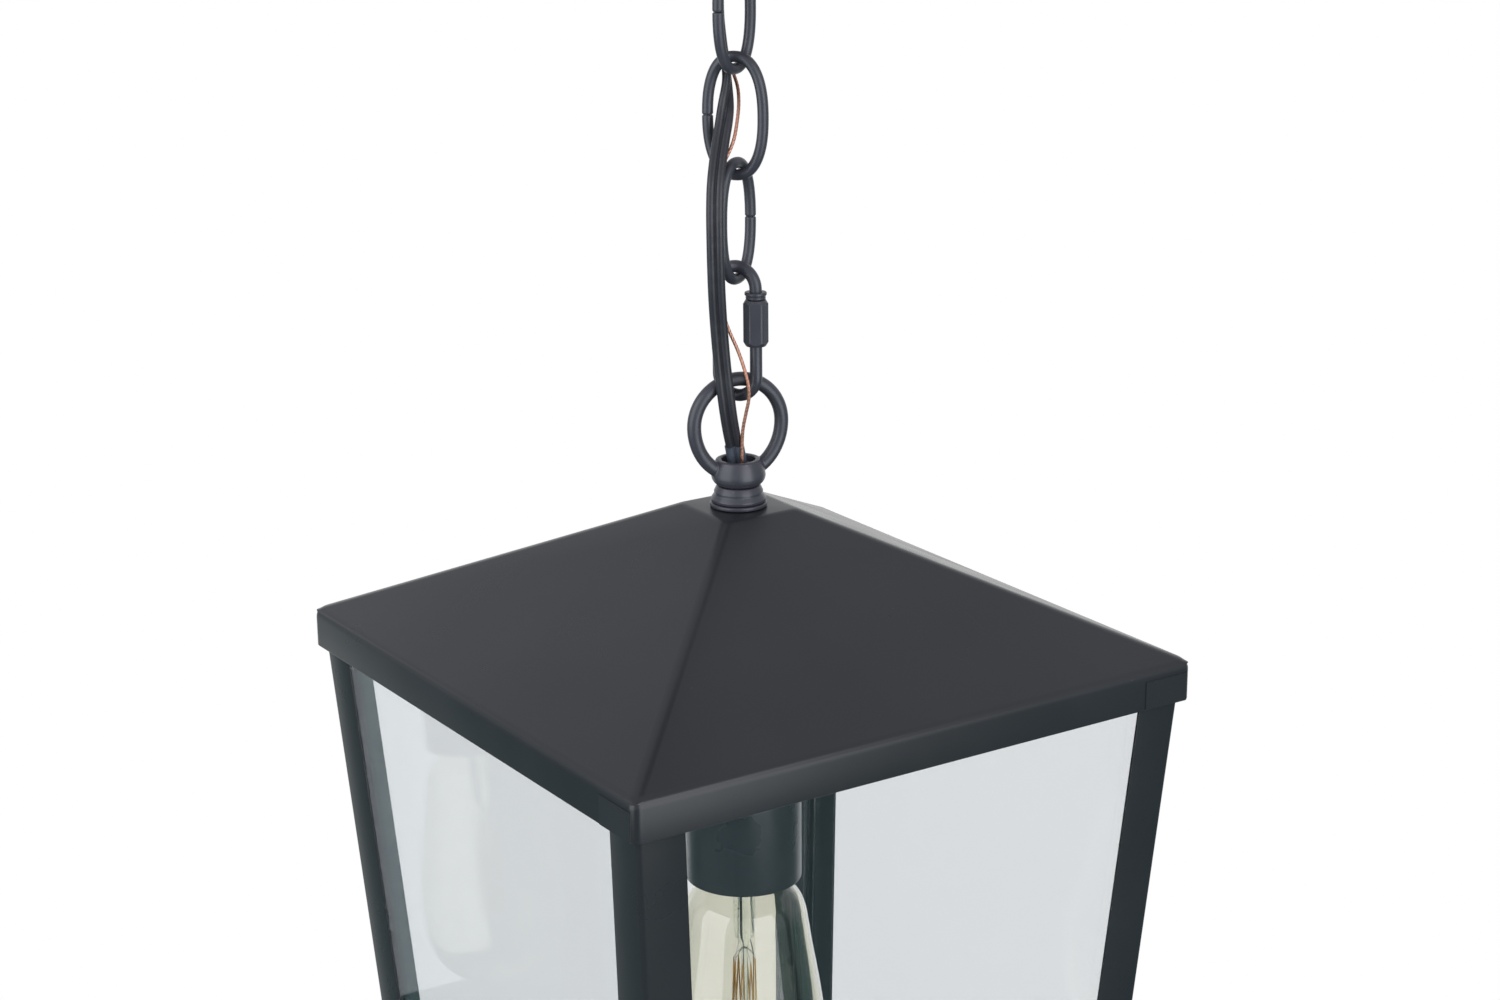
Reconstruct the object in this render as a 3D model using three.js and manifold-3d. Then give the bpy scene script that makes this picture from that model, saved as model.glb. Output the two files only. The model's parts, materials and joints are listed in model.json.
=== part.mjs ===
// A square tapered hanging lantern: a hipped sheet-metal roof, four angle posts and four glass
// panes round an exposed bulb, hung on three chain links and a quick link from a ceiling canopy.
// Millimetres, +Z up. The origin is on the ceiling, on the axis that the lantern hangs from.
import * as THREE from 'three';
import { mergeVertices } from 'three/addons/utils/BufferGeometryUtils.js';
import Module from 'manifold-3d';

const wasm = await Module();
wasm.setup();

// ---- Driving dimensions -------------------------------------------------------------------

const gap = 0.3; // between pieces that touch
const sheet = 1.0; // thickness of the roof, canopy and cup sheet

// Lantern body. Its heights are measured from the roof's lower edge.
const roofWidth = 240;
const roofRise = 50.9;
const roofEdgeHeight = 14.6;
const roofEdgeBend = 4.5; // outer radius of the fold between slope and edge
const roofTopWidth = 32.4; // the small flat that carries the loop
const bodyHeight = 300; // from the roof's lower edge to the foot of the posts
const bodyTaper = 0.0704; // each side leans in by this much per unit of height
const postSetback = 3.3; // from the roof's outer face to the posts' outer face
const postLeg = 18.5;
const postThickness = 1.2;
const postTop = 10; // how far the posts reach up behind the roof's edge
const glassThickness = 3;
const frameThickness = 1.5;
const frameLedge = 14; // horizontal leg of the top frame
const frameHeight = 9;
const bottomRailHeight = 18;
const bottomLedge = 20;
const retainerHeight = 9;
const retainerLedge = 8;

// Lamp holder and bulb
const stemDiameter = 10;
const stemBore = 8;
const cupDiameter = 44.8;
const cupHeight = 55;
const cupRimDrop = 83.2; // from the roof's lower edge down to the cup's rim
const socketDiameter = 39;
const socketHeight = 40;
const socketRecess = 3; // from the cup's rim up to the socket's mouth
const socketBoreDepth = 31;
const shellDiameter = 27.4;
const baseDiameter = 25.6;
const baseHeight = 24;
const bulbDiameter = 64;
const bulbGlassHeight = 115;
const bulbGlass = 1.0;

// Hardware between the roof and the chain, the same at the canopy
const washerDiameter = 21.4;
const washerHeight = 1.8;
const bellDiameter = 20.4;
const bellHeight = 6.4;
const hubDiameter = 20.4;
const hubHeight = 9.7;
const hubMouth = 13.2; // the wire hole between the ring's legs
const ringWire = 5.3;
const ringDiameter = 39.6;
const ringCentre = 31.4; // from the washer's seat to the centre of the ring
const ringStretch = 1.14; // of its lower half, so that its legs run down to the hub's widest part

// Chain
const linkWire = 4.1;
const linkLength = 46.8;
const linkWidth = 25.4;
const linkSquareness = 2.35; // exponent of the oval: 2 is an ellipse
const linkSlit = 0.4; // between the butted ends of the wire
const quickWire = 4.6;
const quickLength = 53;
const quickWidth = 20.3;
const quickGap = 6;
const quickGapCentre = 7.2; // above the middle of the quick link
const sleeveAcrossFlats = 8.4;
const sleeveLength = 17.2;
const sleeveCentre = 4; // above the middle of the quick link
const collarDiameter = 8.2;
const collarHeight = 2.6;
const threadRelief = 0.35; // how much the sleeve's bore clears the wire
const ringPlay = 1.1; // between the quick link and the lantern's ring, which meet askew

// Which way each ring and link faces, in degrees about Z: 0 lies along X of the chain's frame
const chainTurn = -33.4;
const canopyLoopTurn = -5;
const linkTurns = [237.6, 159.4, 60.8]; // towards the side with the slit
const quickTurn = -29;
const lanternLoopTurn = 20;

// Canopy
const canopyDiameter = 124;
const canopyDepth = 24;
const barLength = 104;
const barWidth = 20;
const barThickness = 2.4;
const barSlotLength = 16;
const barSlotWidth = 5;
const barSlotCentre = 26;
const screwCentre = 43; // of the two screws that carry the canopy
const screwDiameter = 4;
const capNutDiameter = 10;
const capNutHeight = 9;
const nutAcrossFlats = 15;
const nutHeight = 5;
const wireNutDiameter = 11;
const wireNutLength = 17;
const wireNutReach = 22; // from the axis to the nuts' mouths, where the cord splits
const wireNutDrop = 7.4; // from the bar's lower face to the nuts' axis
const wireNutSpread = 6.2;

// Wires
const cordWidth = 6.4;
const cordThickness = 3.2;
const groundDiameter = 1.3;

// ---- Heights that follow ------------------------------------------------------------------

const ringReach = ringCentre + (ringDiameter - ringWire) / 2; // seat to the ring's far wire
const linkDrop = linkLength - linkWire;
const canopySeat = -canopyDepth;
const firstPivot = canopySeat - ringReach;
const firstLinkTop = firstPivot + (ringWire + linkWire) / 2 + gap;
const pivots = [firstPivot];
const linkTops = [firstLinkTop];
for (let i = 1; i < linkTurns.length; i += 1) {
  pivots.push(linkTops[i - 1] - linkDrop);
  linkTops.push(pivots[i] + linkWire + gap);
}
const quickPivot = linkTops[linkTops.length - 1] - linkDrop;
const quickTop = quickPivot + (linkWire + quickWire) / 2 + gap;
const lanternPivot = quickTop - (quickLength - quickWire);
const lanternRingTop = lanternPivot + (quickWire + ringWire) / 2 + ringPlay;
const roofTop = lanternRingTop - ringReach;
const roofBase = roofTop - roofRise - roofEdgeHeight;
const cupRim = roofBase - cupRimDrop;
const cupTop = cupRim + cupHeight;

// ---- Making solids ------------------------------------------------------------------------

const degrees = Math.PI / 180;

function painted(color, roughness, metalness = 0) {
  return new THREE.MeshStandardMaterial({ color, roughness, metalness });
}

function blackPaint() {
  return painted(0x24272a, 0.42, 0.3);
}

function clearGlass(color = 0xdfe9e6) {
  const glass = painted(color, 0.03);
  glass.transparent = true;
  glass.opacity = 0.3;
  return glass;
}

function named(name, geometry, material) {
  const mesh = new THREE.Mesh(geometry, material);
  mesh.name = name;
  return mesh;
}

function bare(geometry) {
  const copy = geometry.clone();
  copy.deleteAttribute('normal');
  copy.deleteAttribute('uv');
  return mergeVertices(copy, 1e-4);
}

function toSolid(geometry) {
  const merged = bare(geometry);
  const mesh = new wasm.Mesh({
    numProp: 3,
    vertProperties: merged.attributes.position.array,
    triVerts: merged.index.array,
  });
  return new wasm.Manifold(mesh);
}

function toGeometry(solid) {
  const mesh = solid.getMesh();
  const geometry = new THREE.BufferGeometry();
  geometry.setAttribute('position', new THREE.BufferAttribute(mesh.vertProperties, 3));
  geometry.setIndex(new THREE.BufferAttribute(mesh.triVerts, 1));
  return geometry;
}

// A solid of revolution about Z from a profile of [radius, height] pairs that runs
// anticlockwise round its section, so that the faces point out.
function turned(profile, sides = 24, start = 0) {
  const points = profile.map(([radius, height]) => new THREE.Vector2(radius, height));
  const geometry = new THREE.LatheGeometry(points, sides, start);
  geometry.rotateX(Math.PI / 2);
  return bare(geometry);
}

// The same for a square ring or shell: the profile's first numbers are half widths.
function squareTurned(profile) {
  const corners = profile.map(([half, height]) => [half * Math.SQRT2, height]);
  return turned(corners, 4, Math.PI / 4);
}

function cylinder(diameter, bottom, top, sides = 20) {
  const geometry = new THREE.CylinderGeometry(diameter / 2, diameter / 2, top - bottom, sides);
  geometry.rotateX(Math.PI / 2);
  geometry.translate(0, 0, (top + bottom) / 2);
  return geometry;
}

function box(sizeX, sizeY, bottom, top) {
  const geometry = new THREE.BoxGeometry(sizeX, sizeY, top - bottom);
  geometry.translate(0, 0, (top + bottom) / 2);
  return geometry;
}

// A tube with round or other section along a curve, with flat ends.
function swept(curve, section, steps) {
  return new THREE.ExtrudeGeometry(section, { steps, extrudePath: curve, bevelEnabled: false });
}

function roundSection(diameter, sides = 8) {
  const corners = [];
  for (let i = 0; i < sides; i += 1) {
    const angle = (2 * Math.PI * (i + 0.5)) / sides;
    corners.push(new THREE.Vector2(Math.cos(angle), Math.sin(angle)).multiplyScalar(diameter / 2));
  }
  return new THREE.Shape(corners);
}

// Points of an arc that rounds the corner between two straight runs of a profile.
function roundedCorner(before, corner, after, radius, steps = 3) {
  const at = new THREE.Vector2(...corner);
  const back = new THREE.Vector2(...before).sub(at).normalize();
  const onward = new THREE.Vector2(...after).sub(at).normalize();
  const half = Math.acos(back.dot(onward)) / 2;
  const middle = back.clone().add(onward).normalize().multiplyScalar(radius / Math.sin(half));
  const centre = at.clone().add(middle);
  const first = at.clone().addScaledVector(back, radius / Math.tan(half)).sub(centre);
  const last = at.clone().addScaledVector(onward, radius / Math.tan(half)).sub(centre);
  const sweep = Math.atan2(first.cross(last), first.dot(last));
  const points = [];
  for (let i = 0; i <= steps; i += 1) {
    const point = first.clone().rotateAround(new THREE.Vector2(), (sweep * i) / steps).add(centre);
    points.push([point.x, point.y]);
  }
  return points;
}

function hexNut(acrossFlats, bore, bottom, top) {
  const corners = acrossFlats / Math.cos(Math.PI / 6);
  const hexagon = toSolid(cylinder(corners, bottom, top, 6));
  const hole = toSolid(cylinder(bore, bottom - 1, top + 1));
  return toGeometry(hexagon.subtract(hole));
}

function tube(outer, inner, bottom, top, sides = 20) {
  const outside = outer / 2;
  const inside = inner / 2;
  const wall = [[inside, bottom], [outside, bottom], [outside, top], [inside, top]];
  return turned([...wall, wall[0]], sides);
}

// ---- Loop, bell and washer: the same set under the canopy and on the roof -------------------

// Each is made standing on a seat at height 0.
function loopGeometry() {
  const bottom = washerHeight + bellHeight + gap;
  const top = bottom + hubHeight;
  const radius = hubDiameter / 2;
  const hub = turned([
    [0, bottom], [radius - 2, bottom], [radius - 0.8, bottom + 1.1], [radius, bottom + 2.8],
    [radius - 0.1, bottom + 3.8], [radius - 0.9, bottom + 6.8], [radius - 1.6, top - 0.7],
    [radius - 2.4, top], [0, top],
  ]);
  const ring = new THREE.TorusGeometry((ringDiameter - ringWire) / 2, ringWire / 2, 8, 30);
  ring.rotateX(Math.PI / 2);
  const points = ring.attributes.position;
  for (let i = 0; i < points.count; i += 1) {
    points.setZ(i, points.getZ(i) * (points.getZ(i) < 0 ? ringStretch : 1));
  }
  ring.translate(0, 0, ringCentre);
  const bore = toSolid(cylinder(stemDiameter + 2 * gap, bottom - 1, bottom + 6.5));
  const mouth = toSolid(cylinder(hubMouth, bottom + 6.3, top + 4));
  return toGeometry(toSolid(hub).add(toSolid(ring)).subtract(bore).subtract(mouth));
}

function bellGeometry() {
  const bottom = washerHeight + gap;
  const top = washerHeight + bellHeight;
  const radius = bellDiameter / 2;
  const hole = stemDiameter / 2 + gap;
  const step = (top - bottom) / 2 + bottom;
  return turned([
    [hole, bottom], [radius, bottom], [radius + 0.1, bottom + 0.9], [radius - 0.7, step - 0.3],
    [radius - 1.0, step], [radius - 0.9, step + 0.8], [radius - 1.6, top - 0.5],
    [radius - 2.2, top], [hole, top], [hole, bottom],
  ]);
}

function washerGeometry() {
  return tube(washerDiameter, stemDiameter + 2 * gap, gap, washerHeight);
}

function loopSet(names) {
  const set = new THREE.Group();
  set.add(named(names[0], loopGeometry(), blackPaint()));
  set.add(named(names[1], bellGeometry(), blackPaint()));
  set.add(named(names[2], washerGeometry(), blackPaint()));
  return set;
}

// ---- Chain --------------------------------------------------------------------------------

// The centreline of a chain link, from one side of its slit round to the other.
class Oval extends THREE.Curve {
  getPoint(t, target = new THREE.Vector3()) {
    const slit = (linkSlit / linkDrop) ** (linkSquareness / 2);
    const angle = slit + t * (2 * Math.PI - 2 * slit);
    const power = 2 / linkSquareness;
    const along = Math.sign(Math.cos(angle)) * Math.abs(Math.cos(angle)) ** power;
    const up = Math.sign(Math.sin(angle)) * Math.abs(Math.sin(angle)) ** power;
    return target.set((along * (linkWidth - linkWire)) / 2, 0, (up * linkDrop) / 2);
  }
}

function linkMesh(name) {
  return named(name, swept(new Oval(), roundSection(linkWire), 28), blackPaint());
}

// The quick link's body: a C whose gap is in one straight side, closed by the sleeve.
function quickPath() {
  const half = (quickWidth - quickWire) / 2;
  const straight = (quickLength - quickWire) / 2 - half;
  const upperEnd = quickGapCentre + quickGap / 2;
  const lowerEnd = quickGapCentre - quickGap / 2;
  const path = new THREE.CurvePath();
  const at = (x, z) => new THREE.Vector3(x, 0, z);
  path.add(new THREE.LineCurve3(at(half, upperEnd), at(half, straight)));
  path.add(new HalfTurn(half, straight, 1));
  path.add(new THREE.LineCurve3(at(-half, straight), at(-half, -straight)));
  path.add(new HalfTurn(half, -straight, -1));
  path.add(new THREE.LineCurve3(at(half, -straight), at(half, lowerEnd)));
  return path;
}

// Half a circle in the XZ plane round [0, 0, height]: over the top, or back along the bottom.
class HalfTurn extends THREE.Curve {
  constructor(radius, height, side) {
    super();
    this.radius = radius;
    this.height = height;
    this.side = side;
  }

  getPoint(t, target = new THREE.Vector3()) {
    const angle = Math.PI * t;
    const across = this.side * Math.cos(angle);
    return target.set(this.radius * across, 0, this.height + this.side * this.radius * Math.sin(angle));
  }
}

function quickLinkMesh() {
  const body = toSolid(swept(quickPath(), roundSection(quickWire), 40));
  const side = (quickWidth - quickWire) / 2;
  const collarBottom = quickSleeveTop() + gap;
  const collar = cylinder(collarDiameter, collarBottom, collarBottom + collarHeight, 16);
  collar.translate(side, 0, 0);
  return named('quick_link', toGeometry(body.add(toSolid(collar))), blackPaint());
}

function quickSleeveTop() {
  return sleeveCentre + sleeveLength / 2;
}

function sleeveMesh() {
  const top = quickSleeveTop();
  const bore = quickWire + 2 * threadRelief;
  const nut = hexNut(sleeveAcrossFlats, bore, top - sleeveLength, top);
  nut.translate((quickWidth - quickWire) / 2, 0, 0);
  return named('quick_link_sleeve', nut, blackPaint());
}

function placed(mesh, height, turn) {
  mesh.position.z = height;
  mesh.rotation.z = turn * degrees;
  return mesh;
}

function chain() {
  const group = new THREE.Group();
  linkTurns.forEach((turn, i) => {
    group.add(placed(linkMesh(`chain_link_${i + 1}`), linkTops[i] - linkDrop / 2, turn));
  });
  const quickMiddle = quickTop - (quickLength - quickWire) / 2;
  group.add(placed(quickLinkMesh(), quickMiddle, quickTurn));
  group.add(placed(sleeveMesh(), quickMiddle, quickTurn));
  const canopySet = loopSet(['canopy_loop', 'canopy_bell', 'canopy_washer']);
  canopySet.position.z = canopySeat;
  canopySet.rotation.set(Math.PI, 0, -canopyLoopTurn * degrees);
  group.add(canopySet);
  group.add(placed(loopSet(['lantern_loop', 'roof_bell', 'roof_washer']), roofTop, lanternLoopTurn));
  group.rotation.z = chainTurn * degrees;
  return group;
}

// ---- Canopy -------------------------------------------------------------------------------

function canopyShell() {
  const rim = canopyDiameter / 2;
  const bottom = -canopyDepth;
  const shoulder = rim - 9;
  const hole = stemDiameter / 2 + gap;
  const dish = turned([
    [hole, bottom], [26, bottom], [shoulder, bottom + 8], [rim - 1.5, bottom + 16],
    [rim, bottom + 19], [rim, -gap], [rim - sheet, -gap], [rim - sheet, bottom + 19.2],
    [rim - 2.4, bottom + 16.6], [shoulder - 0.5, bottom + 9], [25.8, bottom + sheet],
    [hole, bottom + sheet], [hole, bottom],
  ], 32);
  let solid = toSolid(dish);
  for (const side of [-1, 1]) {
    const hole = cylinder(screwDiameter + 2 * gap, bottom - 1, 0, 16);
    hole.translate(side * screwCentre, 0, 0);
    solid = solid.subtract(toSolid(hole));
  }
  return toGeometry(solid);
}

// The canopy's lower face at the screws, where the cap nuts bear.
const capSeat = -canopyDepth + (8 * (screwCentre - 26)) / (canopyDiameter / 2 - 9 - 26);

function crossbar() {
  let bar = toSolid(box(barLength, barWidth, -barThickness, 0));
  for (const side of [-1, 1]) {
    const slot = box(barSlotLength, barSlotWidth, -barThickness - 1, 1);
    slot.translate(side * barSlotCentre, 0, 0);
    const hole = cylinder(screwDiameter + 2 * gap, -barThickness - 1, 1, 16);
    hole.translate(side * screwCentre, 0, 0);
    bar = bar.subtract(toSolid(slot)).subtract(toSolid(hole));
  }
  const centreHole = toSolid(cylinder(stemDiameter + 1, -barThickness - 1, 1));
  const groundHole = cylinder(screwDiameter + 2 * gap, -barThickness - 1, 1, 16);
  groundHole.translate(groundScrewX, groundScrewY, 0);
  return toGeometry(bar.subtract(centreHole).subtract(toSolid(groundHole)));
}

const groundScrewX = -12;
const groundScrewY = 5;

// A pan head under the bar with its shank up through it.
function panScrew(headDiameter, headHeight, shankTop) {
  const under = -barThickness - gap;
  const shank = screwDiameter / 2;
  const head = headDiameter / 2;
  return turned([
    [0, under - headHeight], [head * 0.7, under - headHeight], [head, under - headHeight * 0.6],
    [head, under], [shank, under], [shank, shankTop], [0, shankTop],
  ], 14);
}

// The stud runs from the bar down through the canopy into its cap nut.
function canopyStud(side) {
  const stud = cylinder(screwDiameter, capSeat - capNutHeight * 0.6, -gap, 14);
  stud.translate(side * screwCentre, 0, 0);
  return stud;
}

function capNut(side) {
  const top = capSeat - 1.7;
  const radius = capNutDiameter / 2;
  const bore = screwDiameter / 2 + gap;
  const profile = [[0, top - capNutHeight], [radius * 0.5, top - capNutHeight + 0.7]];
  profile.push([radius * 0.87, top - capNutHeight * 0.68], [radius, top - capNutHeight * 0.4]);
  profile.push([radius * 0.9, top - 1.4], [radius * 0.72, top], [bore, top]);
  profile.push([bore, top - capNutHeight * 0.7], [0, top - capNutHeight * 0.7]);
  const nut = turned(profile, 16);
  nut.translate(side * screwCentre, 0, 0);
  return nut;
}

function wireNut(x) {
  const radius = wireNutDiameter / 2;
  const bore = radius - 1.6;
  const nut = turned([
    [bore, 0], [radius, 0], [radius - 0.3, 3], [radius - 1.4, wireNutLength - 2],
    [radius - 2.6, wireNutLength], [0, wireNutLength], [0, wireNutLength - 3], [bore - 0.6, 6],
    [bore, 0],
  ], 16);
  nut.rotateX(-Math.PI / 2);
  nut.translate(x, wireNutReach, -barThickness - wireNutDrop);
  return nut;
}

function canopyGroup() {
  const group = new THREE.Group();
  const zinc = () => painted(0xb9bcc0, 0.35, 0.9);
  group.add(named('crossbar', crossbar(), zinc()));
  group.add(named('canopy', canopyShell(), blackPaint()));
  for (const [side, word] of [[-1, 'left'], [1, 'right']]) {
    group.add(named(`canopy_stud_${word}`, canopyStud(side), zinc()));
    group.add(named(`cap_nut_${word}`, capNut(side), blackPaint()));
  }
  const nippleTop = canopySeat + sheet + gap + nutHeight + 1.5;
  const nippleBottom = canopySeat - washerHeight - bellHeight - 5.5;
  group.add(named('canopy_nipple', tube(stemDiameter, stemBore, nippleBottom, nippleTop), zinc()));
  const nutBottom = canopySeat + sheet + gap;
  const nut = hexNut(nutAcrossFlats, stemDiameter + 2 * gap, nutBottom, nutBottom + nutHeight);
  group.add(named('canopy_nut', nut, zinc()));
  const groundScrew = panScrew(8, 2.6, -gap);
  groundScrew.translate(groundScrewX, groundScrewY, 0);
  group.add(named('ground_screw', groundScrew, painted(0x2f7a45, 0.35, 0.8)));
  const orange = painted(0xc9692a, 0.5);
  const wireNuts = new THREE.Group();
  wireNuts.add(named('wire_nut_line', wireNut(-wireNutSpread), orange));
  wireNuts.add(named('wire_nut_neutral', wireNut(wireNutSpread), orange.clone()));
  wireNuts.rotation.z = chainTurn * degrees;
  group.add(wireNuts);
  return group;
}

// ---- Roof and body ------------------------------------------------------------------------

function roof() {
  const half = roofWidth / 2;
  const flat = roofTopWidth / 2;
  const top = roofEdgeHeight + roofRise;
  const slope = Math.atan(roofRise / (half - flat));
  const lift = sheet / Math.cos(slope);
  const innerEave = roofEdgeHeight + sheet * Math.tan(slope) - lift;
  const innerFlat = half - (roofRise - sheet + lift) / Math.tan(slope);
  const inner = half - sheet;
  const outerBend = roundedCorner([half, 0], [half, roofEdgeHeight], [flat, top], roofEdgeBend);
  const innerBend = roundedCorner(
    [innerFlat, top - sheet], [inner, innerEave], [inner, 0], roofEdgeBend - sheet,
  );
  const shell = toSolid(squareTurned([
    [0, top - sheet], [innerFlat, top - sheet], ...innerBend, [inner, 0], [half, 0],
    ...outerBend, [flat, top], [0, top],
  ]));
  const hole = toSolid(cylinder(stemDiameter + 2 * gap, top - 3, top + 1));
  return toGeometry(shell.subtract(hole));
}

// Half the width across the posts' outer faces, at a height above the roof's lower edge.
function postHalf(height) {
  return roofWidth / 2 - postSetback + bodyTaper * height;
}

function post() {
  const leg = -postLeg;
  const inner = -postThickness;
  const section = new THREE.Shape([
    new THREE.Vector2(0, 0), new THREE.Vector2(leg, 0), new THREE.Vector2(leg, inner),
    new THREE.Vector2(inner, inner), new THREE.Vector2(inner, leg), new THREE.Vector2(0, leg),
  ]);
  const length = bodyHeight + postTop;
  const geometry = new THREE.ExtrudeGeometry(section, { depth: length, bevelEnabled: false });
  geometry.translate(postHalf(0), postHalf(0), -bodyHeight);
  const lean = new THREE.Matrix4().makeShear(0, 0, 0, 0, bodyTaper, bodyTaper);
  geometry.applyMatrix4(lean);
  return geometry;
}

// How far the glass's outer face lies behind the posts' outer face.
const glassSetback = postThickness + 1.3 * gap;
const glassFoot = -bodyHeight + gap;
const glassHead = 4;

// The front pane, leaning with the posts' front faces.
function pane() {
  const lean = Math.atan(bodyTaper);
  const edge = (height) => postHalf(height) - glassSetback - glassThickness - 4 * gap;
  const foot = glassFoot / Math.cos(lean);
  const head = glassHead / Math.cos(lean);
  const outline = new THREE.Shape([
    new THREE.Vector2(-edge(glassFoot), foot), new THREE.Vector2(edge(glassFoot), foot),
    new THREE.Vector2(edge(glassHead), head), new THREE.Vector2(-edge(glassHead), head),
  ]);
  const geometry = new THREE.ExtrudeGeometry(outline, { depth: glassThickness, bevelEnabled: false });
  geometry.translate(0, 0, -glassThickness);
  geometry.rotateX(Math.PI / 2 + lean);
  geometry.translate(0, glassSetback - postHalf(0), 0);
  return geometry;
}

function topFrame() {
  const bottom = glassHead + 2 * gap;
  const top = bottom + frameHeight;
  const outer = postHalf(bottom) - postThickness - gap;
  const inner = outer - frameThickness;
  const ledge = outer - frameLedge;
  return squareTurned([
    [inner, bottom], [outer, bottom], [outer, top], [ledge, top],
    [ledge, top - frameThickness], [inner, top - frameThickness], [inner, bottom],
  ]);
}

function bottomFrame() {
  const ledgeTop = -bodyHeight - gap;
  const bottom = ledgeTop - frameThickness;
  const top = bottom + bottomRailHeight;
  const inner = postHalf(top) + gap;
  const outer = inner + frameThickness;
  const ledge = inner - bottomLedge;
  return squareTurned([
    [ledge, bottom], [outer, bottom], [outer, top], [inner, top],
    [inner, ledgeTop], [ledge, ledgeTop], [ledge, bottom],
  ]);
}

// An angle ring that stands on the bottom frame's ledge and keeps the panes out against the posts.
function paneRetainer() {
  const bottom = -bodyHeight;
  const top = bottom + retainerHeight;
  const behind = glassSetback + glassThickness / Math.cos(Math.atan(bodyTaper)) + 1.5 * gap;
  const footHalf = postHalf(bottom) - behind;
  const headHalf = postHalf(top) - behind;
  const ledge = footHalf - retainerLedge;
  return squareTurned([
    [ledge, bottom], [footHalf, bottom], [headHalf, top], [headHalf - frameThickness, top],
    [footHalf - frameThickness, bottom + frameThickness], [ledge, bottom + frameThickness],
    [ledge, bottom],
  ]);
}

function bodyGroup() {
  const group = new THREE.Group();
  group.add(named('roof', roof(), blackPaint()));
  group.add(named('top_frame', topFrame(), blackPaint()));
  group.add(named('bottom_frame', bottomFrame(), blackPaint()));
  group.add(named('pane_retainer', paneRetainer(), blackPaint()));
  const corners = ['back_right', 'back_left', 'front_left', 'front_right'];
  corners.forEach((corner, i) => {
    const mesh = named(`post_${corner}`, post(), blackPaint());
    mesh.rotation.z = (i * Math.PI) / 2;
    group.add(mesh);
  });
  const sides = ['front', 'right', 'back', 'left'];
  sides.forEach((side, i) => {
    const mesh = named(`glass_${side}`, pane(), clearGlass());
    mesh.rotation.z = (i * Math.PI) / 2;
    group.add(mesh);
  });
  group.position.z = roofBase;
  return group;
}

// ---- Lamp holder and bulb -------------------------------------------------------------------

function socketCup() {
  const outer = cupDiameter / 2;
  const inner = outer - sheet;
  const hole = stemDiameter / 2 + gap;
  return turned([
    [hole, cupTop - sheet], [inner - 1.2, cupTop - sheet], [inner, cupTop - sheet - 1.2],
    [inner, cupRim], [outer, cupRim], [outer, cupTop - 2], [outer - 2, cupTop], [hole, cupTop],
    [hole, cupTop - sheet],
  ], 32);
}

const socketMouth = cupRim + socketRecess;
const socketTop = socketMouth + socketHeight;
const socketRoof = socketMouth + socketBoreDepth;

function socketBody() {
  const outer = socketDiameter / 2;
  const bore = shellDiameter / 2 + gap;
  return turned([
    [0, socketRoof], [bore, socketRoof], [bore, socketMouth], [outer, socketMouth],
    [outer, socketTop - 6], [outer - 5, socketTop], [0, socketTop],
  ]);
}

function screwShell() {
  return tube(shellDiameter, shellDiameter - 0.9, socketMouth + 2, socketRoof - 2);
}

function centreContact() {
  return cylinder(8, socketRoof - 1.6, socketRoof - gap, 16);
}

const baseFoot = socketMouth + 1.5;
const baseTop = baseFoot + baseHeight;

function bulbBase() {
  const outer = baseDiameter / 2;
  const wall = 0.4;
  return turned([
    [6.2, baseTop - wall], [outer - 1.6, baseTop - wall], [outer - wall, baseTop - 2],
    [outer - wall, baseFoot], [outer, baseFoot], [outer, baseTop - 1.6], [outer - 1.4, baseTop],
    [6.2, baseTop], [6.2, baseTop - wall],
  ], 20);
}

const eyeletTop = socketRoof - 1.6 - gap;
const insulatorTop = eyeletTop - 1.2;

function bulbInsulator() {
  return turned([
    [0, baseTop + gap], [10, baseTop + gap], [8.6, baseTop + 1.4], [5.4, insulatorTop],
    [0, insulatorTop],
  ], 16);
}

function bulbEyelet() {
  return turned([
    [0, insulatorTop + gap], [4.6, insulatorTop + gap], [3.4, eyeletTop - 0.2], [0, eyeletTop],
  ], 14);
}

// The envelope's outline as [share of the radius, share of the height] from neck to tip.
const bulbOutline = [
  [0.36, 0], [0.36, 0.03], [0.42, 0.055], [0.58, 0.1], [0.69, 0.133], [0.745, 0.167], [0.775, 0.22],
  [0.87, 0.385], [0.953, 0.53], [0.99, 0.61], [1, 0.68], [0.97, 0.78], [0.87, 0.86], [0.68, 0.93],
  [0.4, 0.98],
];

function bulbEnvelope() {
  const neck = baseFoot + 2;
  const radius = bulbDiameter / 2;
  const outer = bulbOutline.map(([r, h]) => [r * radius, neck - h * bulbGlassHeight]);
  const inner = bulbOutline.map(([r, h]) => {
    const height = neck - h * (bulbGlassHeight - bulbGlass);
    return [r * radius - bulbGlass, height];
  });
  const tip = [[0, neck - bulbGlassHeight]];
  const innerTip = [[0, neck - bulbGlassHeight + bulbGlass]];
  return turned([...innerTip, ...inner.reverse(), ...outer, ...tip].reverse(), 24);
}

// The glass foot that carries the filament: a flare in the neck, a tube and a rod.
function bulbFoot() {
  const neck = baseFoot;
  return turned([
    [0, neck - 38], [1.6, neck - 38], [1.6, neck - 32], [4.2, neck - 29], [4.3, neck - 12],
    [8.5, neck - 4], [9.6, neck - 2.4], [9.6, neck - 1.4], [0, neck - 1.4],
  ], 16);
}

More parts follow.
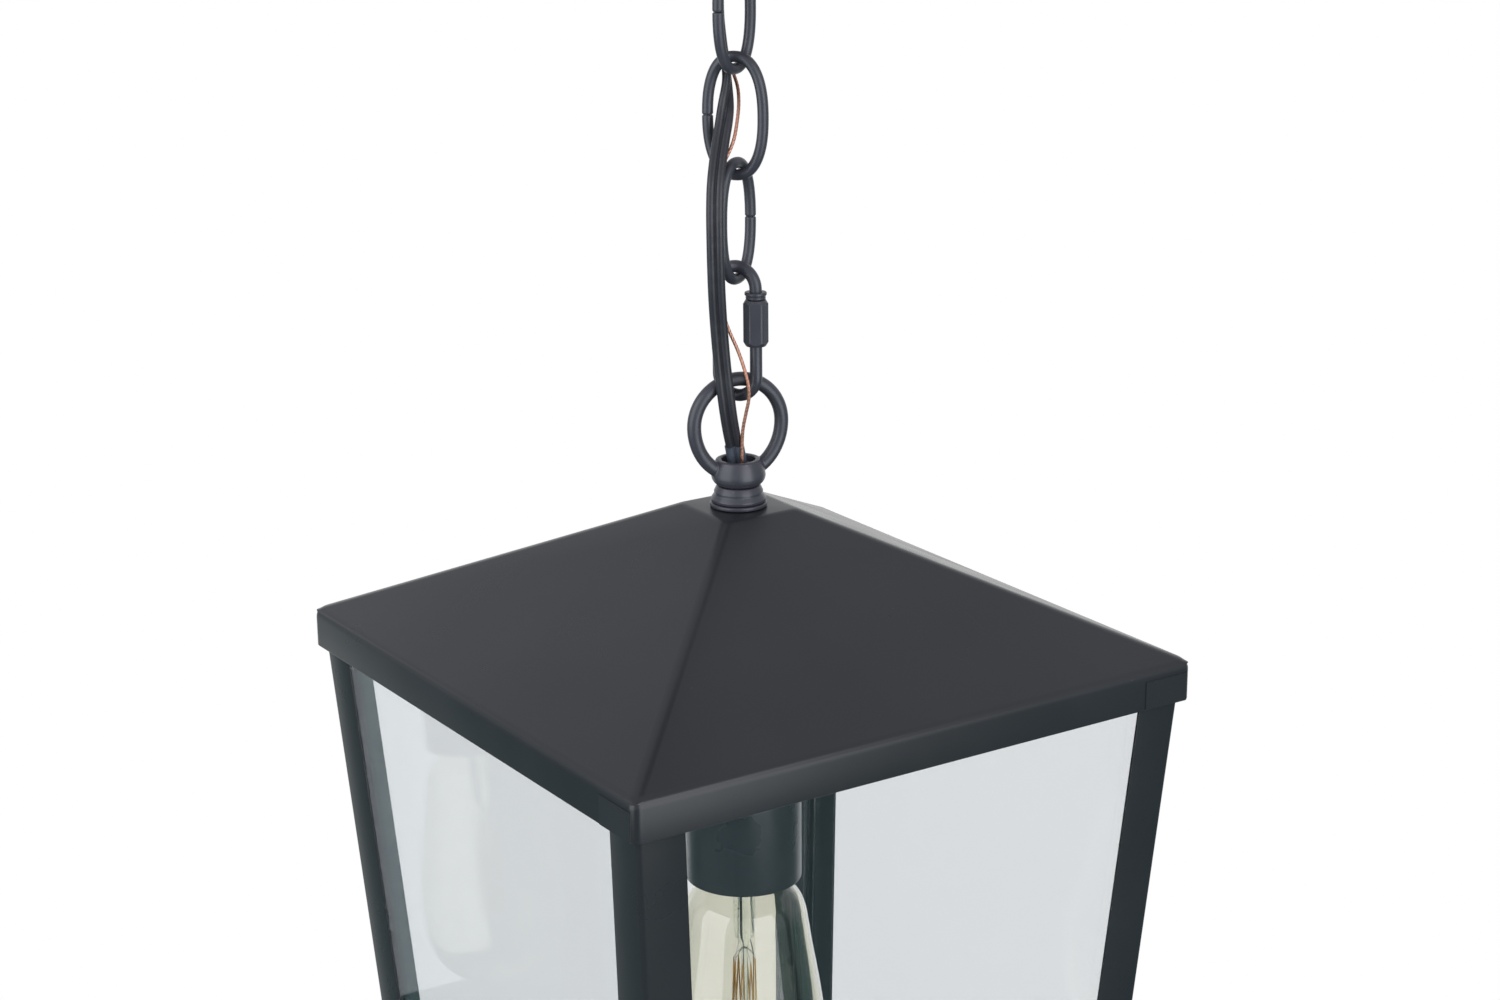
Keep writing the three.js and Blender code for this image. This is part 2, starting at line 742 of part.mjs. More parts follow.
// One filament that runs up and down between two rings of supports.
function filament() {
  const turns = 6;
  const top = baseFoot - 39;
  const bottom = baseFoot - 86;
  const points = [];
  for (let i = 0; i <= 2 * turns - 1; i += 1) {
    const angle = (Math.PI * i) / turns;
    const radius = i % 2 === 0 ? 4.4 : 5.6;
    const height = i % 2 === 0 ? top : bottom;
    points.push(new THREE.Vector3(radius * Math.cos(angle), radius * Math.sin(angle), height));
  }
  const path = new THREE.CurvePath();
  for (let i = 1; i < points.length; i += 1) {
    path.add(new THREE.LineCurve3(points[i - 1], points[i]));
  }
  return swept(path, roundSection(0.6, 4), 66);
}

function lampGroup() {
  const group = new THREE.Group();
  const brass = () => painted(0xb5893f, 0.35, 0.9);
  const stemTop = roofTop + washerHeight + bellHeight + 5.5;
  const stem = tube(stemDiameter, stemBore, socketTop + gap, stemTop);
  group.add(named('stem_tube', stem, painted(0xb9bcc0, 0.35, 0.9)));
  const nutTop = roofTop - sheet - gap;
  const nut = hexNut(nutAcrossFlats, stemDiameter + 2 * gap, nutTop - nutHeight, nutTop);
  group.add(named('roof_nut', nut, painted(0xb9bcc0, 0.35, 0.9)));
  group.add(named('socket_cup', socketCup(), blackPaint()));
  group.add(named('socket_body', socketBody(), painted(0xe8e4da, 0.4)));
  group.add(named('screw_shell', screwShell(), brass()));
  group.add(named('centre_contact', centreContact(), brass()));
  group.add(named('bulb_base', bulbBase(), brass()));
  group.add(named('bulb_insulator', bulbInsulator(), painted(0x1d1c22, 0.2)));
  group.add(named('bulb_eyelet', bulbEyelet(), painted(0xb0b2b4, 0.35, 0.9)));
  group.add(named('bulb_envelope', bulbEnvelope(), clearGlass(0xe9dcb8)));
  group.add(named('bulb_foot', bulbFoot(), clearGlass(0xdfe6dc)));
  group.add(named('bulb_filament', filament(), painted(0xb8863c, 0.5, 0.6)));
  return group;
}

// ---- Wires --------------------------------------------------------------------------------

// The two-conductor cord's route in the chain's frame, from its wire nuts in the canopy down
// beside the chain, through the second link and the ring, to the top of the socket.
const cordRoute = [
  [0, 21.4, -9.8], [0, 15, -9.4], [0, 9.5, -9.2], [0, 5, -9.8], [0, 2, -12], [0, 0.8, -15.5],
  [0, 0.7, -21], [0, 0.7, -30], [0, 0.7, -38], [-0.2, 0.9, -44], [-1, 2.2, -50],
  [-2.4, 4.4, -57], [-3.8, 6.4, -64.5],
  [-4.7, 7.3, -73], [-5.2, 7.5, -82], [-5.2, 7.6, -92], [-4.4, 7.7, -101], [-3.4, 7.7, -109],
  [-2.9, 6.6, -116], [-3.2, 4, -122.5], [-4, 0.5, -129], [-5.3, -3.4, -136], [-6.4, -7.7, -143],
  [-7.2, -11.6, -150.5], [-7.5, -13.8, -159], [-7.5, -14.4, -168], [-7.4, -13.9, -178],
  [-7.2, -12.6, -188], [-6.8, -10.9, -198], [-6.2, -9.2, -208], [-5.4, -8.2, -218], [-4.5, -7.6, -227],
  [-3.5, -6.2, -236], [-2.4, -3.7, -244], [-1.3, -1.1, -250.5], [-0.4, 0.4, -256.5], [0, 0.7, -262],
  [0, 0.7, -272], [0, 0.7, -300], [0, 0.7, -340], [0, 0.7, socketTop + 0.5],
];

// The bare stranded ground wire's route in the same frame, from its screw on the crossbar.
const groundRoute = [
  [-8, -2.5, -4.6], [-5.6, -2.5, -6.4], [-2.8, -2.5, -9.6], [-0.2, -2.4, -14.2], [1.1, -2.4, -20],
  [1.2, -2.4, -34], [1.4, -2.2, -43], [1.8, -0.6, -49], [1.8, 3, -55], [0.9, 7, -61.5],
  [-0.9, 10.6, -68.5], [-2.9, 12.6, -76], [-4.6, 13.1, -85], [-5.2, 13.1, -94], [-4.6, 12.7, -102],
  [-2.8, 12, -108.5], [-0.6, 10.8, -113.5], [0.9, 8, -118], [1.3, 4.2, -123], [0.7, 0.6, -129],
  [-0.8, -2.6, -136], [-4, -4.1, -143], [-8, -6.2, -150], [-9.9, -9.2, -158], [-10, -10, -168],
  [-9.6, -9.6, -178], [-8.6, -8.4, -186], [-6.8, -7.2, -193], [-4.9, -6.6, -199], [-2.6, -6.5, -205.5],
  [0.2, -7, -212], [2.6, -8.2, -219], [4, -8.6, -225], [4.1, -8, -230], [3, -6.7, -236],
  [1.9, -5.3, -242], [1.5, -4, -248], [1.4, -3, -254], [1.3, -2.5, -260], [1.2, -2.4, -270],
  [1.2, -2.4, -300], [1.2, -2.4, -340], [1.2, -2.4, socketTop + 0.5],
];

// Heights and angles between which the cord's flat side turns from across the chain's frame
// (0 degrees) to along it (90) and back.
const cordTwist = [[-46, 0], [-63, 90], [-112, 90], [-133, 0]];

function cordAngle(height) {
  const next = cordTwist.findIndex(([level]) => height >= level);
  if (next === 0) {
    return cordTwist[0][1];
  }
  if (next < 0) {
    return cordTwist[cordTwist.length - 1][1];
  }
  const [upper, from] = cordTwist[next - 1];
  const [lower, to] = cordTwist[next];
  const share = THREE.MathUtils.smoothstep(upper - height, 0, upper - lower);
  return from + (to - from) * share;
}

// A stretch of a longer curve between two of its arc-length shares. Its width lies level.
class Stretch extends THREE.Curve {
  constructor(whole, from, to, angleAt) {
    super();
    this.whole = whole;
    this.from = from;
    this.to = to;
    this.angleAt = angleAt;
  }

  getPoint(t, target) {
    return this.whole.getPointAt(this.from + (this.to - this.from) * t, target);
  }

  computeFrenetFrames(steps) {
    const tangents = [];
    const normals = [];
    const binormals = [];
    for (let i = 0; i <= steps; i += 1) {
      const tangent = this.getTangentAt(i / steps);
      const angle = this.angleAt(this.getPointAt(i / steps).z) * degrees;
      const normal = new THREE.Vector3(Math.cos(angle), Math.sin(angle), 0);
      normal.addScaledVector(tangent, -normal.dot(tangent)).normalize();
      tangents.push(tangent);
      normals.push(normal);
      binormals.push(tangent.clone().cross(normal));
    }
    return { tangents, normals, binormals };
  }
}

// The arc-length share at which a falling curve passes a height, below its level start.
function shareAtHeight(curve, height) {
  let low = 0.1;
  let high = 1;
  for (let i = 0; i < 30; i += 1) {
    const middle = (low + high) / 2;
    if (curve.getPointAt(middle).z > height) {
      low = middle;
    } else {
      high = middle;
    }
  }
  return low;
}

const carriers = ['canopy', 'link_1', 'link_2', 'link_3', 'quick_link', 'lantern'];

// One stretch for each body that carries the wire, cut level with the pivots between them.
function wireMeshes(prefix, route, section, step, angleAt, color, metalness) {
  const whole = new THREE.CatmullRomCurve3(route.map((point) => new THREE.Vector3(...point)));
  whole.arcLengthDivisions = 1000;
  const length = whole.getLength();
  const cuts = [...pivots, quickPivot, lanternPivot].map((height) => shareAtHeight(whole, height));
  const starts = [0, ...cuts];
  const ends = [...cuts, 1];
  return carriers.map((carrier, i) => {
    const from = starts[i] + (i === 0 ? 0 : (0.5 * gap) / length);
    const to = ends[i] - (i === carriers.length - 1 ? 0 : (0.5 * gap) / length);
    const stretch = new Stretch(whole, from, to, angleAt);
    const steps = Math.ceil(((to - from) * length) / step);
    return named(`${prefix}_${carrier}`, swept(stretch, section, steps), painted(color, 0.5, metalness));
  });
}

function flatSection() {
  const half = cordWidth / 2;
  const thick = cordThickness / 2;
  const corner = thick * 0.55;
  const outline = [[half, -corner], [half, corner], [half - corner, thick], [corner - half, thick]];
  outline.push([-half, corner], [-half, -corner], [corner - half, -thick], [half - corner, -thick]);
  return new THREE.Shape(outline.map(([x, y]) => new THREE.Vector2(x, y)));
}

function wires() {
  const group = new THREE.Group();
  const cord = wireMeshes('cord', cordRoute, flatSection(), 6, cordAngle, 0x1f2124, 0);
  const round = roundSection(groundDiameter, 6);
  const ground = wireMeshes('ground_wire', groundRoute, round, 6, () => 0, 0xc07048, 0.9);
  group.add(...cord, ...ground);
  group.rotation.z = chainTurn * degrees;
  return group;
}

// ---- The lantern --------------------------------------------------------------------------

const lantern = new THREE.Group();
lantern.add(canopyGroup(), chain(), bodyGroup(), lampGroup(), wires());

export default lantern;
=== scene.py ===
import json
import math

import bmesh
import bpy
from mathutils import Matrix, Vector

# A square hanging lantern in satin black with clear panes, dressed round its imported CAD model.
# Metres, in the CAD frame: the origin is on the ceiling, -Y is the lantern's front.
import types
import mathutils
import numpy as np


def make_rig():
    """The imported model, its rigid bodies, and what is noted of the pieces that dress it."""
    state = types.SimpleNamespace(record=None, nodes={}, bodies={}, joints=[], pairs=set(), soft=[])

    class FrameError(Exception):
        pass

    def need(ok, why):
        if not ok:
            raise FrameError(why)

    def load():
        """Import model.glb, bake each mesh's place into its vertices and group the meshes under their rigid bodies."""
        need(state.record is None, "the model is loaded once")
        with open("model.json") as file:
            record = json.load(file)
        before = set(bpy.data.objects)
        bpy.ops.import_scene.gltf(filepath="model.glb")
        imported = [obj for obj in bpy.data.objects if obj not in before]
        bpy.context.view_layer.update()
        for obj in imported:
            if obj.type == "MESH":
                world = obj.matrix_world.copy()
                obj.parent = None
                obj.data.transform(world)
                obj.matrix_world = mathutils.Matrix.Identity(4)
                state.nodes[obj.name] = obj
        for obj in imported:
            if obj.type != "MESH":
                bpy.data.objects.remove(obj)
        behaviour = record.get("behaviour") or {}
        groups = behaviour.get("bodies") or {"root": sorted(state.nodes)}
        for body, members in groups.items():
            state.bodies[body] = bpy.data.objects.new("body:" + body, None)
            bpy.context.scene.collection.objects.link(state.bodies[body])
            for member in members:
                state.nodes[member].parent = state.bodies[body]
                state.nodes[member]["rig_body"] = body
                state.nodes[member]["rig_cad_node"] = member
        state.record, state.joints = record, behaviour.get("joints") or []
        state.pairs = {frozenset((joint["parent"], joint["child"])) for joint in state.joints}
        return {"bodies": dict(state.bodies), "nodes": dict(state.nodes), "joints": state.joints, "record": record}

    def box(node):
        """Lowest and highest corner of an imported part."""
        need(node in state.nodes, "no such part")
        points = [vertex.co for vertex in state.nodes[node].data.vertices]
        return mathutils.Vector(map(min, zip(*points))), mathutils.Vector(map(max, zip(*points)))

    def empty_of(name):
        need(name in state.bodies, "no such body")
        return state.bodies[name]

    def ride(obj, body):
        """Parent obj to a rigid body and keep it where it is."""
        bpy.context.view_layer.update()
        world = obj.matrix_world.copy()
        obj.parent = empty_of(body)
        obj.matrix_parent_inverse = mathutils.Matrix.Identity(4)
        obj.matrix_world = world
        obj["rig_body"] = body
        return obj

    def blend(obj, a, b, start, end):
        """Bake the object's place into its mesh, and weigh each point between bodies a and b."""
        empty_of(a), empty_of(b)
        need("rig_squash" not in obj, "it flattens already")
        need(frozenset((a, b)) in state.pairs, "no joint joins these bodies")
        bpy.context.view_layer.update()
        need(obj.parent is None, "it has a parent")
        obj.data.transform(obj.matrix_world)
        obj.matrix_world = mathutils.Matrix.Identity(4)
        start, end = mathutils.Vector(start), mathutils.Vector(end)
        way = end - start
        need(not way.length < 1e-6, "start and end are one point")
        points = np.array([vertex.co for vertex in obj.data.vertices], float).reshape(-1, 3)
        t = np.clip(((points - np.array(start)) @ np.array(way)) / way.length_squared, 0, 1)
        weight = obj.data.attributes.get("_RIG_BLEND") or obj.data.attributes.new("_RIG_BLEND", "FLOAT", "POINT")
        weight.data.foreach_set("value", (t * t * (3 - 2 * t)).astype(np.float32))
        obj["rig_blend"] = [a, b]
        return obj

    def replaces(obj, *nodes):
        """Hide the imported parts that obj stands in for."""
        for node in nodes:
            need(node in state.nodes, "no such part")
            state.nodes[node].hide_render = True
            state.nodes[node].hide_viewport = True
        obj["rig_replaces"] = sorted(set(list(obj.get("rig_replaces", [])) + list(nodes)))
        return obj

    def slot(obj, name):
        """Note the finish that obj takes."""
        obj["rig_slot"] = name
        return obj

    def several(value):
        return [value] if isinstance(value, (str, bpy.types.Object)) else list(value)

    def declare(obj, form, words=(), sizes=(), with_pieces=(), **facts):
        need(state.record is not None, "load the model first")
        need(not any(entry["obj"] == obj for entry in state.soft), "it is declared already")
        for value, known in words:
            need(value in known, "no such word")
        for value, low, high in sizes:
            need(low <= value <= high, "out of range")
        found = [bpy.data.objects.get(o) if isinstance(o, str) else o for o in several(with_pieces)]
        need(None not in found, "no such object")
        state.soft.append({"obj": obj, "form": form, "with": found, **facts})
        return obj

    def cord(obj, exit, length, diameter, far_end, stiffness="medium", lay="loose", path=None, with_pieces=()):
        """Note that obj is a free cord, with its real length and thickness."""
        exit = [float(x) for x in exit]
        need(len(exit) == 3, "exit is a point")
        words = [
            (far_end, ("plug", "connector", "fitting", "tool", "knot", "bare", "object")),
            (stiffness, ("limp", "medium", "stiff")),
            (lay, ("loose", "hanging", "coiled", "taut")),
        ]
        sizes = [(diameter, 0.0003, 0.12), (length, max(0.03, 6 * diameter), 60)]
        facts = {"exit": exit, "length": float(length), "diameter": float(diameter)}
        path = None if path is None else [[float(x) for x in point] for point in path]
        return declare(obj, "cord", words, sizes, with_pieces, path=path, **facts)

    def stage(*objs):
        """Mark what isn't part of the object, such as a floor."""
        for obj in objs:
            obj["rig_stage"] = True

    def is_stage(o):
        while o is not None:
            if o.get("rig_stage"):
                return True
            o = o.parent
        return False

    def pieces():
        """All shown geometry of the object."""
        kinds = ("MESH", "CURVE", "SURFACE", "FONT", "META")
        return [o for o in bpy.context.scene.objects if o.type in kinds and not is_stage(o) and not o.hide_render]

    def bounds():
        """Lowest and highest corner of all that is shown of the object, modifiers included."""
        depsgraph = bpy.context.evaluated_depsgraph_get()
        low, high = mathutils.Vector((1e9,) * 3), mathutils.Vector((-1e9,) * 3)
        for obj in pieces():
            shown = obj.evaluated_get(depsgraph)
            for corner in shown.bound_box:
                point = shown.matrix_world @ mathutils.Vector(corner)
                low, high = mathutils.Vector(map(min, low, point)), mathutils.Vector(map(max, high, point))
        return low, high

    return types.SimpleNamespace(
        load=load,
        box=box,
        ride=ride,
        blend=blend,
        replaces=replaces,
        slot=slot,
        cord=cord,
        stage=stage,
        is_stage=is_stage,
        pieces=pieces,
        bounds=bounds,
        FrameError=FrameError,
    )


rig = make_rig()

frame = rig.load()
cad_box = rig.bounds()
MM = 0.001


def mm(*values):
    """A point, or one size, given in millimetres."""
    return Vector(v * MM for v in values) if len(values) > 1 else values[0] * MM


BORE = mm(5.3)  # radius of the holes round the nipple and the stem
SHEET = mm(1)  # thickness of the canopy, the roof and the cup

# ---- Camera ----

CAMERA_PLACE = mm(-572.0, -876.0, 43.8)
CAMERA_HEADING = math.radians(-33.376)
CAMERA_PITCH = math.radians(16.756)
CAMERA_ROLL = math.radians(-0.4365)
CAMERA_LENS = 70.29

camera = bpy.data.objects.new("camera", bpy.data.cameras.new("camera"))
camera.data.lens = CAMERA_LENS
camera.data.sensor_width = 36
camera.matrix_world = (
    Matrix.Translation(CAMERA_PLACE)
    @ Matrix.Rotation(CAMERA_HEADING, 4, "Z")
    @ Matrix.Rotation(math.pi / 2 - CAMERA_PITCH, 4, "X")
    @ Matrix.Rotation(CAMERA_ROLL, 4, "Z")
)
bpy.context.scene.collection.objects.link(camera)
bpy.context.scene.camera = camera

# ---- Places that follow from the CAD model ----

JOINTS = {joint["name"]: joint for joint in frame["joints"]}
CHAIN_TURN = math.radians(-33.4)
RING_TURN = math.radians(20)  # of the lantern's ring, in the chain's frame
QUICK_TURN = math.radians(-29)  # of the quick link, in the chain's frame

roof_low, roof_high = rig.box("roof")
ROOF_HALF = roof_high.x
ROOF_BASE = roof_low.z
ROOF_TOP = roof_high.z
CANOPY_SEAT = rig.box("canopy")[0].z


def pivot(name):
    return JOINTS[name]["pos_m"][2]


def facing(name):
    """The level direction that a joint's axis lies along, which is that of the ring above it."""
    return Vector(JOINTS[name]["axis"])


def turned(angle):
    """A level direction, from its turn in the chain's frame."""
    return Vector((math.cos(CHAIN_TURN + angle), math.sin(CHAIN_TURN + angle), 0))


# ---- Making meshes ----


def new_piece(name, mesh_data, smooth_angle=35):
    """An object from a bmesh, closed up, facing out, smooth except at its real edges."""
    bmesh.ops.remove_doubles(mesh_data, verts=mesh_data.verts, dist=2e-6)
    bmesh.ops.dissolve_degenerate(mesh_data, edges=mesh_data.edges, dist=1e-7)
    bmesh.ops.recalc_face_normals(mesh_data, faces=mesh_data.faces)
    mesh = bpy.data.meshes.new(name)
    mesh_data.to_mesh(mesh)
    mesh_data.free()
    mesh.shade_smooth()
    mesh.set_sharp_from_angle(angle=math.radians(smooth_angle))
    piece = bpy.data.objects.new(name, mesh)
    bpy.context.scene.collection.objects.link(piece)
    return piece


def skin(rings, around=True, along=False, capped=True):
    """A bmesh skinned over rings of points. around closes each ring, along closes the row."""
    data = bmesh.new()
    rows = [[data.verts.new(point) for point in ring] for ring in rings]
    count = len(rows[0])
    for i in range(len(rows) if along else len(rows) - 1):
        here, there = rows[i], rows[(i + 1) % len(rows)]
        for j in range(count if around else count - 1):
            k = (j + 1) % count
            data.faces.new((here[j], here[k], there[k], there[j]))
    if capped and not along:
        data.faces.new(reversed(rows[0]))
        data.faces.new(rows[-1])
    return data


def arc(centre, radius, first, last, steps):
    """Points of an arc in a profile, in degrees."""
    points = []
    for i in range(steps + 1):
        angle = math.radians(first + (last - first) * i / steps)
        points.append((centre[0] + radius * math.cos(angle), centre[1] + radius * math.sin(angle)))
    return points


def rounded(profile, radii, steps=4):
    """A closed profile with each corner rounded. A radius of 0 leaves the corner."""
    points = []
    for i, corner in enumerate(profile):
        radius = radii[i]
        at = Vector(corner)
        back = (Vector(profile[i - 1]) - at).normalized()
        onward = (Vector(profile[(i + 1) % len(profile)]) - at).normalized()
        half = back.angle(onward) / 2
        if radius == 0 or half > 1.55:
            points.append(tuple(at))
            continue
        centre = at + (back + onward).normalized() * radius / math.sin(half)
        first = at + back * radius / math.tan(half) - centre
        last = at + onward * radius / math.tan(half) - centre
        opening = math.atan2(first.x * last.y - first.y * last.x, first.dot(last))
        for step in range(steps + 1):
            turn = Matrix.Rotation(opening * step / steps, 2)
            points.append(tuple(centre + turn @ first))
    return points


def lathe(profile, segments=64):
    """A bmesh of revolution about Z from a closed profile of (radius, height)."""
    rings = []
    for i in range(segments):
        angle = 2 * math.pi * i / segments
        c, s = math.cos(angle), math.sin(angle)
        rings.append([(r * c, r * s, z) for r, z in profile])
    return skin(rings, along=True)


def square_loop(half, height, corner, steps=5):
    """Points round a square with rounded corners at one height."""
    points = []
    inset = half - corner
    for quarter in range(4):
        start = 90 * quarter
        sx, sy = ((1, 1), (-1, 1), (-1, -1), (1, -1))[quarter]
        for x, y in arc((sx * inset, sy * inset), corner, start, start + 90, steps):
            points.append((x, y, height))
    return points


def square_loft(profile, corners):
    """A bmesh lofted round a square from a closed profile of (half width, height)."""
    loops = []
    for (half, height), corner in zip(profile, corners):
        loops.append(square_loop(half, height, corner))
    count = len(loops[0])
    return skin([[loop[i] for loop in loops] for i in range(count)], along=True)


def spline(points, step):
    """Points about a step apart on a centripetal Catmull-Rom curve."""
    control = [Vector(p) for p in points]
    control = [2 * control[0] - control[1], *control, 2 * control[-1] - control[-2]]
    dense = []
    for i in range(1, len(control) - 2):
        p0, p1, p2, p3 = control[i - 1 : i + 3]
        t1 = (p1 - p0).length ** 0.5
        t2 = t1 + (p2 - p1).length ** 0.5
        t3 = t2 + (p3 - p2).length ** 0.5
        for k in range(24):
            t = t1 + (t2 - t1) * k / 24
            a1 = p0 * (t1 - t) / t1 + p1 * t / t1
            a2 = p1 * (t2 - t) / (t2 - t1) + p2 * (t - t1) / (t2 - t1)
            a3 = p2 * (t3 - t) / (t3 - t2) + p3 * (t - t2) / (t3 - t2)
            b1 = a1 * (t2 - t) / t2 + a2 * t / t2
            b2 = a2 * (t3 - t) / (t3 - t1) + a3 * (t - t1) / (t3 - t1)
            dense.append(b1 * (t2 - t) / (t2 - t1) + b2 * (t - t1) / (t2 - t1))
    dense.append(control[-2])
    return even(dense, step)


def even(points, step):
    """The same line with its points evenly spaced, about a step apart."""
    lengths = [0.0]
    for a, b in zip(points, points[1:]):
        lengths.append(lengths[-1] + (b - a).length)
    count = max(1, round(lengths[-1] / step))
    placed, i = [], 0
    for k in range(count + 1):
        target = lengths[-1] * k / count
        while i < len(points) - 2 and lengths[i + 1] < target:
            i += 1
        share = (target - lengths[i]) / max(lengths[i + 1] - lengths[i], 1e-12)
        placed.append(points[i].lerp(points[i + 1], min(max(share, 0), 1)))
    return placed


def tangents(points, closed=False):
    found = []
    for i in range(len(points)):
        before = points[i - 1] if closed or i > 0 else points[i]
        after = points[(i + 1) % len(points)] if closed or i < len(points) - 1 else points[i]
        found.append((after - before).normalized())
    return found


def sweep(points, section, side, closed=False, turn=None):
    """A bmesh of a section swept along points. side(i, tangent) is the section's first axis."""
    rings = []
    for i, (point, tangent) in enumerate(zip(points, tangents(points, closed))):
        across = side(i, tangent)
        across = (across - tangent * across.dot(tangent)).normalized()
        other = tangent.cross(across)
        angle = turn(i) if turn else 0
        c, s = math.cos(angle), math.sin(angle)
        rings.append(
            [point + across * (x * c - y * s) + other * (x * s + y * c) for x, y in section]
        )
    return skin(rings, along=closed)


def circle(radius, sides):
    return [
        (radius * math.cos(2 * math.pi * i / sides), radius * math.sin(2 * math.pi * i / sides))
        for i in range(sides)
    ]


def flat_side(i, tangent):
    """The first axis of a section swept along a line that lies in the XZ plane."""
    return Vector((0, 1, 0))


def wire(points, radius, sides=8, up=Vector((0.31, 0.2, 0.93))):
    """A bmesh of round wire along points."""
    return sweep(points, circle(radius, sides), lambda i, tangent: up)


def joined(*parts):
    """One bmesh from several."""
    whole = bmesh.new()
    for part in parts:
        mesh = bpy.data.meshes.new("joining")
        part.to_mesh(mesh)
        part.free()
        whole.from_mesh(mesh)
        bpy.data.meshes.remove(mesh)
    return whole


def moved(data, matrix):
    bmesh.ops.transform(data, matrix=matrix, verts=data.verts)
    return data


def placed(height, direction=Vector((1, 0, 0)), flipped=False):
    """Stands a shape made round the origin at a height, its X turned to a level direction."""
    turn = Matrix.Rotation(math.atan2(direction.y, direction.x), 4, "Z")
    flip = Matrix.Rotation(math.pi, 4, "X") if flipped else Matrix.Identity(4)
    return Matrix.Translation((0, 0, height)) @ turn @ flip


def apply_modifiers(piece):
    graph = bpy.context.evaluated_depsgraph_get()
    mesh = bpy.data.meshes.new_from_object(piece.evaluated_get(graph))
    piece.modifiers.clear()
    piece.data = mesh


# ---- Materials ----


RANGE_SOCKETS = ("From Min", "From Max", "To Min", "To Max")


class Look:
    """One procedural material: a Principled shader, fed by noise in the piece's own place."""

    def __init__(self, name, **values):
        self.material = bpy.data.materials.new(name)
        self.material.use_nodes = True
        self.tree = self.material.node_tree
        self.shader = self.tree.nodes["Principled BSDF"]
        self.output = self.tree.nodes["Material Output"]
        self.place = self.node("ShaderNodeTexCoord").outputs["Object"]
        for key, value in values.items():
            socket = self.shader.inputs[key.replace("_", " ").title().replace("Ior", "IOR")]
            socket.default_value = (*value, 1) if isinstance(value, tuple) else value

    def node(self, kind, **settings):
        made = self.tree.nodes.new(kind)
        for key, value in settings.items():
            setattr(made, key, value)
        return made

    def link(self, source, target):
        self.tree.links.new(source, target)

    def scaled(self, factors):
        stretch = self.node("ShaderNodeMapping")
        stretch.inputs["Scale"].default_value = factors
        self.link(self.place, stretch.inputs["Vector"])
        return stretch.outputs["Vector"]

    def noise(self, scale, detail=3.0, stretch=(1, 1, 1)):
        """Noise about the middle value 0.5, its features a unit over scale across."""
        made = self.node("ShaderNodeTexNoise")
        made.inputs["Scale"].default_value = scale
        made.inputs["Detail"].default_value = detail
        self.link(self.scaled(stretch), made.inputs["Vector"])
        return made.outputs["Fac"]

    def ranged(self, source, low, high, out_low, out_high):
        made = self.node("ShaderNodeMapRange")
        self.link(source, made.inputs["Value"])
        for key, value in zip(RANGE_SOCKETS, (low, high, out_low, out_high)):
            made.inputs[key].default_value = value
        return made.outputs["Result"]

    def mixed(self, factor, first, second):
        made = self.node("ShaderNodeMix", data_type="RGBA")
        self.link(factor, made.inputs["Factor"])
        for socket, value in ((made.inputs[6], first), (made.inputs[7], second)):
            if isinstance(value, tuple):
                socket.default_value = (*value, 1)
            else:
                self.link(value, socket)
        return made.outputs[2]

    def colour(self, source):
        self.link(source, self.shader.inputs["Base Color"])

    def roughness(self, source):
        self.link(source, self.shader.inputs["Roughness"])

    def bump(self, source, distance, strength=1.0):
        """Adds a bump over any that is there, its height in metres."""
        made = self.node("ShaderNodeBump")
        made.inputs["Distance"].default_value = distance
        made.inputs["Strength"].default_value = strength
        self.link(source, made.inputs["Height"])
        normal = self.shader.inputs["Normal"]
        if normal.links:
            self.link(normal.links[0].from_socket, made.inputs["Normal"])
        self.link(made.outputs["Normal"], normal)

    def lets_lamps_through(self, tint):
        """Makes clear glass cast only a faint shadow."""
        path = self.node("ShaderNodeLightPath")
        clear = self.node("ShaderNodeBsdfTransparent")
        clear.inputs["Color"].default_value = (*tint, 1)
        mix = self.node("ShaderNodeMixShader")
        self.link(path.outputs["Is Shadow Ray"], mix.inputs["Fac"])
        self.link(self.shader.outputs["BSDF"], mix.inputs[1])
        self.link(clear.outputs["BSDF"], mix.inputs[2])
        self.link(mix.outputs["Shader"], self.output.inputs["Surface"])


def black_paint():
    """Satin black powder coat: fine orange peel, patches of more and less gloss, faint dust."""
    look = Look("black_paint", roughness=0.3, ior=1.5)
    patches = look.ranged(look.noise(18, 4), 0.35, 0.7, 0, 1)
    shade = look.mixed(patches, (0.0195, 0.0215, 0.0250), (0.0225, 0.0250, 0.0290))
    specks = look.ranged(look.noise(520, 2), 0.79, 0.82, 0, 1)
    look.colour(look.mixed(specks, shade, (0.09, 0.095, 0.1)))
    look.roughness(look.ranged(look.noise(30, 4), 0.3, 0.7, 0.26, 0.33))
    look.bump(look.noise(1300, 2), mm(0.01), 0.15)
    return look.material


def chain_paint():
    """Thin satin black over bent wire: draw lines along it and small bright rubs."""
    look = Look("chain_paint", roughness=0.33, metallic=0.12, ior=1.55)
    rub = look.ranged(look.noise(420, 4), 0.68, 0.76, 0, 1)
    look.colour(look.mixed(rub, (0.054, 0.055, 0.070), (0.11, 0.112, 0.125)))
    look.roughness(look.ranged(look.noise(160, 3), 0.3, 0.7, 0.28, 0.42))
    look.bump(look.noise(900, 3), mm(0.02), 0.25)
    return look.material


def pane_glass():
    """Float glass with a slight smoke-grey cast, a faint wave and almost unseen smears."""
    look = Look("pane_glass", base_color=(0.920, 0.930, 0.941), roughness=0.0, ior=1.5)
    look.shader.inputs["Transmission Weight"].default_value = 1.0
    look.bump(look.noise(5, 1), mm(0.4), 0.04)
    look.lets_lamps_through((0.9, 0.93, 0.93))
    return look.material


